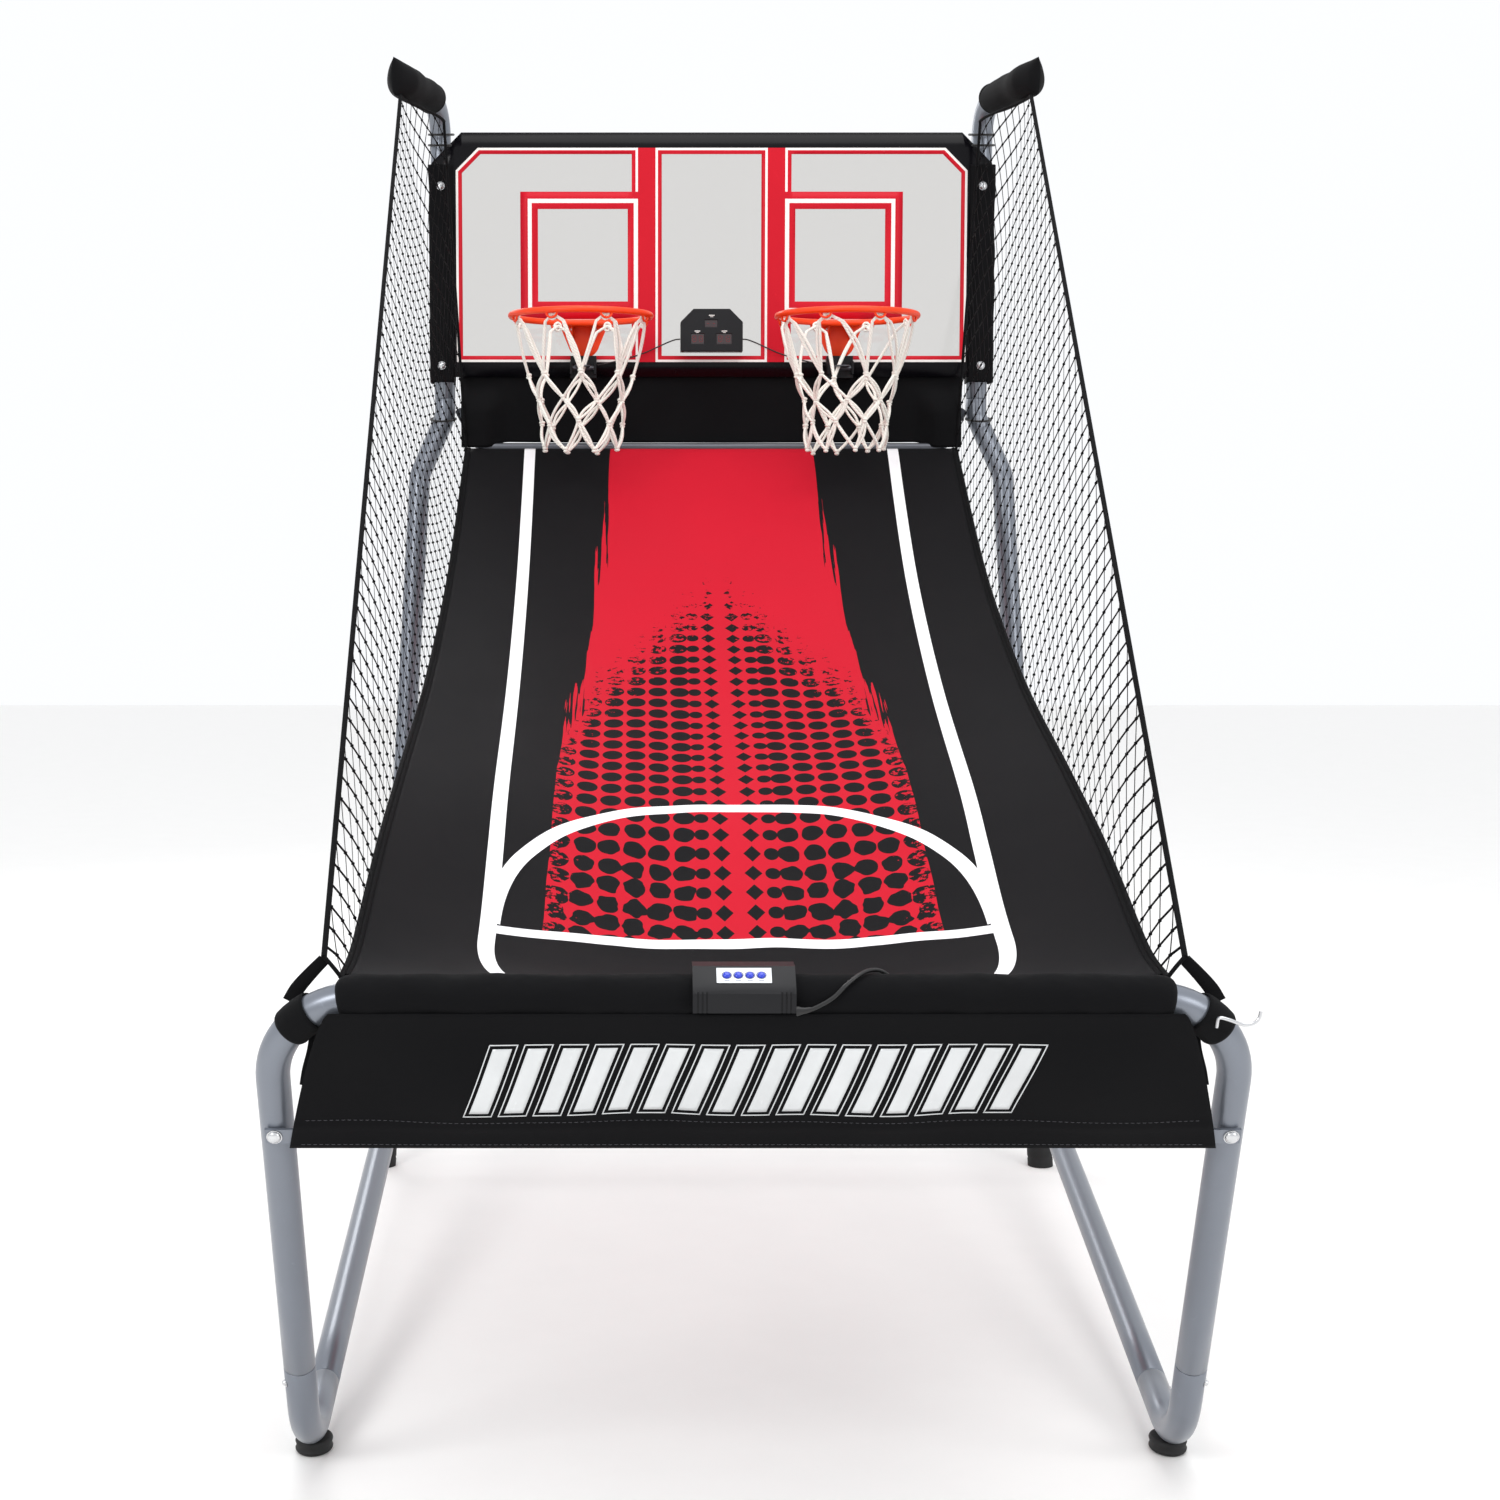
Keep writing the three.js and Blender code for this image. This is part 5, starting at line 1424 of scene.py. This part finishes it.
def display_marks():
    """Dim seven-bar digits on the window, and small plain ticks on the case."""
    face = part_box("scorer_lens")[0][1] - 0.0002
    bm = bmesh.new()

    def bar(x, z, width, height):
        upright = Matrix.Translation(Vector((x, face, z))) @ UPRIGHT
        slab(bm, rectangle(width, height), 0.00015, upright)
    for middle in (-0.0335, -0.0205, 0.0165, 0.0315):
        for dz in (-0.0055, 0.0, 0.0055):
            bar(middle, 1.581 + dz, 0.0052, 0.0009)
        for dx in (-0.0034, 0.0034):
            for dz in (-0.00275, 0.00275):
                bar(middle + dx, 1.581 + dz, 0.0009, 0.0042)
    for middle in (-0.0065, 0.0045):
        bar(middle, 1.610, 0.0045, 0.0009)
    finish_piece("display_digits", bm, DIGIT, REAR)
    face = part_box("scorer_front")[0][1] - 0.0001
    bm = bmesh.new()
    for x, z in ((0.0, 1.6255), (-0.0275, 1.5955), (0.0245, 1.5955)):
        bar(x, z, 0.011, 0.0015)
        bar(x, z - 0.0028, 0.006, 0.0009)
    finish_piece("display_ticks", bm, PRINT_WHITE, REAR)


display_marks()


# ------------------------------------------------------------------ apron and its bar

BAR_MIDDLE = on_front_leg(1, HEM_Z) + OFF_LEGS * (TUBE_R + 0.0004 + HEM_THICK / 2)
BAR_MIDDLE.x = 0.0
cad_copy("hem_bar", ["apron_bar"], SILVER, FRONT, 0.0009)


def padded_roll():
    """Foam sleeve that covers the bar and the start of both bends, its cloth drawn in and wrinkled."""
    bar = dense([p for p in dense(FRONT_PATH, 0.004) if p.z > BAR_Z - 0.02], 0.006)
    stations = [p for p in bar if abs(p.x) < ROLL_HALF]
    last = len(stations) - 1
    radii = [ROLL_R - 0.0008 - 0.0052 * (math.exp(-k / 1.1) + math.exp(-(last - k) / 1.1))
             for k in range(last + 1)]
    bm = bmesh.new()
    sweep(bm, stations, radii, 44, capped=False)
    for vert in bm.verts:
        centre = at(vert.co.x, 0, BAR_Z - max(0.0, BAR_BEND - math.sqrt(
            BAR_BEND ** 2 - max(abs(vert.co.x) - (BAR_HALF - BAR_BEND), 0.0) ** 2)))
        out = (vert.co - centre).normalized()
        under_box = abs(vert.co.x - CONTROL_X) < CONTROL_HALF + 0.004
        under_lead = abs(vert.co.x - 0.11) < 0.05
        if not under_box and not under_lead:
            broad = Vector((vert.co.x, out.y * 0.05, out.z * 0.05))
            vert.co += out * (ruffle(broad, 22, 0.0018) + ruffle(broad * 1.4, 60, 0.0006))
    bmesh.ops.recalc_face_normals(bm, faces=bm.faces[:])
    piece = finish_piece("front_roll", bm, CLOTH, FRONT, sharp=60)
    add_solidify(piece, ROLL_R - TUBE_R - 0.0036)


CONTROL_X, CONTROL_HALF = -0.014, 0.058
APRON_TOP, APRON_BOTTOM, APRON_MEAN = 0.482, 0.540, 0.5161


def apron_half(v):
    """Half-width of the apron at a share of its height."""
    return mix(APRON_TOP, APRON_BOTTOM, (1 - max(0.0, min(v, 1.0))) ** 0.7)


def apron():
    """The cloth that falls from the roll over the hem bar, with a sewn hem and a printed row."""
    hem = BAR_MIDDLE + OFF_LEGS * (HEM_THICK / 2 + 0.0016) - LEAN * (HEM_HEIGHT / 2 + 0.004)
    top = at(0, -ROLL_R + 0.0035, BAR_Z - 0.013)
    height = (top - hem).length

    def hang(u, v):
        place = hem.lerp(top, v)
        place.x = mix(-apron_half(v), apron_half(v), u)
        free = math.sin(math.pi * min(v * 1.15, 1.0))
        fold = 0.0032 * math.sin(place.x * 17 + 1.3 * v) * free
        crease = ruffle(Vector((place.x, v * 0.12, 1.0)), 9, 0.006) * free
        edge = 0.006 * max(abs(2 * u - 1) - 0.86, 0) / 0.14 * free
        hem_lump = 0.0014 * math.exp(-((v - 0.17) / 0.03) ** 2)
        off = max(fold + crease + 0.0035 * free, -0.0006) + hem_lump - edge * 0.3
        return place + OFF_LEGS * (0.0014 + off)
    bm = bmesh.new()
    sheet_mesh(bm, 190, 44, hang, lambda u, v: ((2 * u - 1) * APRON_BOTTOM, v * height))
    bmesh.ops.recalc_face_normals(bm, faces=bm.faces[:])
    piece = finish_piece("apron_cloth", bm, CLOTH, FRONT, ("apron",), sharp=60)
    add_solidify(piece, 0.0012, 0.0)
    return hang, height


def apron_row(hang, height):
    """A plain row of slanted silver bars, each inside a thin silver outline."""
    bars, low, high, lean = 16, 0.30, 0.76, 0.030
    first, pitch, width = -0.328, 0.0400, 0.022

    def on_cloth(x, v):
        return hang((x / apron_half(v) + 1) / 2, v) + OFF_LEGS * 0.0013
    bm = bmesh.new()

    def patch(corner_x, wide, v0, v1, columns, rows):
        made = bmesh.ops.create_grid(bm, x_segments=columns, y_segments=rows, size=0.5)["verts"]
        for vert in made:
            u, t = vert.co.x + 0.5, vert.co.y + 0.5
            v = mix(v0, v1, t)
            x = corner_x + u * wide + lean * (v - low) / (high - low)
            vert.co = on_cloth(x, v)
    line = 0.0014
    for k in range(bars):
        x = first + k * pitch
        patch(x, width, low, high, 5, 18)
        gap = 0.0042
        v_gap = gap / height
        wide = width + 2 * gap
        patch(x - gap - line, line, low - v_gap, high + v_gap, 1, 18)
        patch(x + width + gap, line, low - v_gap, high + v_gap, 1, 18)
        for v in (high + v_gap, low - v_gap - line / height):
            patch(x - gap - line, wide + 2 * line, v, v + line / height, 6, 1)
    bmesh.ops.recalc_face_normals(bm, faces=bm.faces[:])
    piece = finish_piece("apron_print", bm, SILVER_INK, FRONT, merge=False)
    add_solidify(piece, 0.0003, 1.0)


def apron_stitching(hang):
    """Two stitched lines that close the hem round its bar."""
    bm = bmesh.new()
    for v in (0.030, 0.215):
        for k in range(150):
            u0 = 0.012 + k * 0.976 / 150
            a, b = hang(u0, v), hang(u0 + 0.0042, v)
            lift = OFF_LEGS * 0.0007
            sweep(bm, [a + lift * 0.6, a.lerp(b, 0.5) + lift * 1.5, b + lift * 0.6], 0.00035, 4)
    finish_piece("apron_stitches", bm, THREAD, FRONT, sharp=80)


padded_roll()
hang, apron_height = apron()
apron_row(hang, apron_height)
apron_stitching(hang)


def bow_bend(side):
    return bent_path([at(0, 0, BAR_Z), bar_end(side), floor_corner(side)], BAR_BEND, 14)


def corner_strap(name, side):
    """Webbing looped round the bow's bend, which ties the net's lower corner down."""
    bm = bmesh.new()
    line = dense(bow_bend(side)[6:10], 0.004)
    radii = [TUBE_R + 0.0028 + (0.0012 if 0 < i < len(line) - 1 else 0) for i in range(len(line))]
    sweep(bm, line, radii, 40, capped=False)
    piece = finish_piece(f"corner_strap_{name}", bm, WEBBING, FRONT, (f"net_strap_{name}",))
    add_solidify(piece, 0.0022)


def corner_tie(name, side):
    """The flat tie from the net's lower corner to the strap round the bend, and its loose tail."""
    held = bow_bend(side)[8]
    low = held + Vector((side * 0.0100, 0.016, 0.020))
    top = at(side * (NET_FRONT_X + 0.002), NET_START_Y + 0.002, NET_RISE - 0.004)
    bm = bmesh.new()
    line = catmull([top, top.lerp(low, 0.35) + Vector((side * 0.003, 0.002, 0)),
                    top.lerp(low, 0.7) + Vector((side * 0.004, 0.003, 0)), low], 6)
    sweep(bm, line, [mix(0.0070, 0.0095, k / (len(line) - 1)) for k in range(len(line))], 16,
          shape=(0.18, 1.0))
    tail_top = held - Vector((side * 0.020, -0.004, 0.014))
    tail = catmull([tail_top] + [tail_top + Vector((side * x, y, z)) for x, y, z in (
        (0.004, 0.004, -0.022), (0.010, 0.006, -0.044), (0.013, 0.005, -0.062))], 6)
    sweep(bm, tail, [0.0068] * len(tail), 14, shape=(0.16, 1.0))
    finish_piece(f"corner_tie_{name}", bm, WEBBING, FRONT)


for name, side in SIDES:
    corner_strap(name, side)
    corner_tie(name, side)


def fold_hook():
    route = [(0.520, -0.017, 0.640), (0.520, -0.027, 0.652), (0.530, -0.031, 0.651),
             (0.545, -0.033, 0.646), (0.556, -0.034, 0.647), (0.563, -0.034, 0.653),
             (0.565, -0.034, 0.661)]
    bm = bmesh.new()
    sweep(bm, catmull([at(*p) for p in route], 5), 0.0020, 12)
    finish_piece("strap_hook", bm, ZINC, FRONT, ("fold_hook",))


fold_hook()


# ------------------------------------------------------------------ control box

FACE_LOW, FACE_HIGH = Vector((0, -0.034, 0.020)), Vector((0, -0.009, 0.038))
FACE_ALONG = (FACE_HIGH - FACE_LOW).normalized()
FACE_OUT = Vector((0, -FACE_ALONG.z, FACE_ALONG.y))
FACE_MIDDLE = at(CONTROL_X, 0, BAR_Z) + (FACE_LOW + FACE_HIGH) / 2
cad_copy("control_base", ["control_saddle"], PLASTIC, FRONT, 0.0006)
cad_copy("control_case", ["control_cover"], PLASTIC, FRONT, 0.0014, 3)
cad_copy("button_label", ["button_plate"], LABEL, FRONT, 0.0003)
for k in range(4):
    place = FACE_MIDDLE + ACROSS * (k - 1.5) * 0.013
    bm = bmesh.new()
    turned(bm, [(0, 0.0041), (0.0016, 0.0040), (0.0030, 0.0036), (0.0040, 0.0029), (0.0045, 0.0018),
                (0.0046, -0.0015), (0, -0.0015)], place, FACE_OUT, 32)
    finish_piece(f"push_button_{k + 1}", bm, BLUE, f"button_{k + 1}", (f"button_{k + 1}",))


def label_rings():
    """A printed ring round each button and a plain tick below it."""
    bm = bmesh.new()
    for k in range(4):
        place = FACE_MIDDLE + ACROSS * (k - 1.5) * 0.013 + FACE_OUT * 0.0013
        turned(bm, [(0.0052, 0.0), (0.0058, 0.0), (0.0058, 0.00012), (0.0052, 0.00012), (0.0052, 0.0)],
               place, FACE_OUT, 32)
        basis = Matrix((ACROSS, FACE_ALONG, FACE_OUT)).transposed().to_4x4()
        spot = Matrix.Translation(place - FACE_ALONG * 0.0086) @ basis
        slab(bm, rectangle(0.006, 0.0008), 0.00012, spot)
    finish_piece("label_rings", bm, LABEL_INK, FRONT)


label_rings()


def cable_boot():
    """The tapered collar where the lead leaves the control box."""
    route = [at(*p) for p in CABLE_ROUTE[:3]]
    start = route[0] - (route[1] - route[0]).normalized() * 0.003
    bm = bmesh.new()
    sweep(bm, [start, route[0], route[0].lerp(route[1], 0.4), route[1], route[1].lerp(route[2], 0.7)],
          [0.0056, 0.0054, 0.0044, 0.0037, 0.0029], 18)
    finish_piece("lead_collar", bm, JACKET, FRONT)


cable_boot()
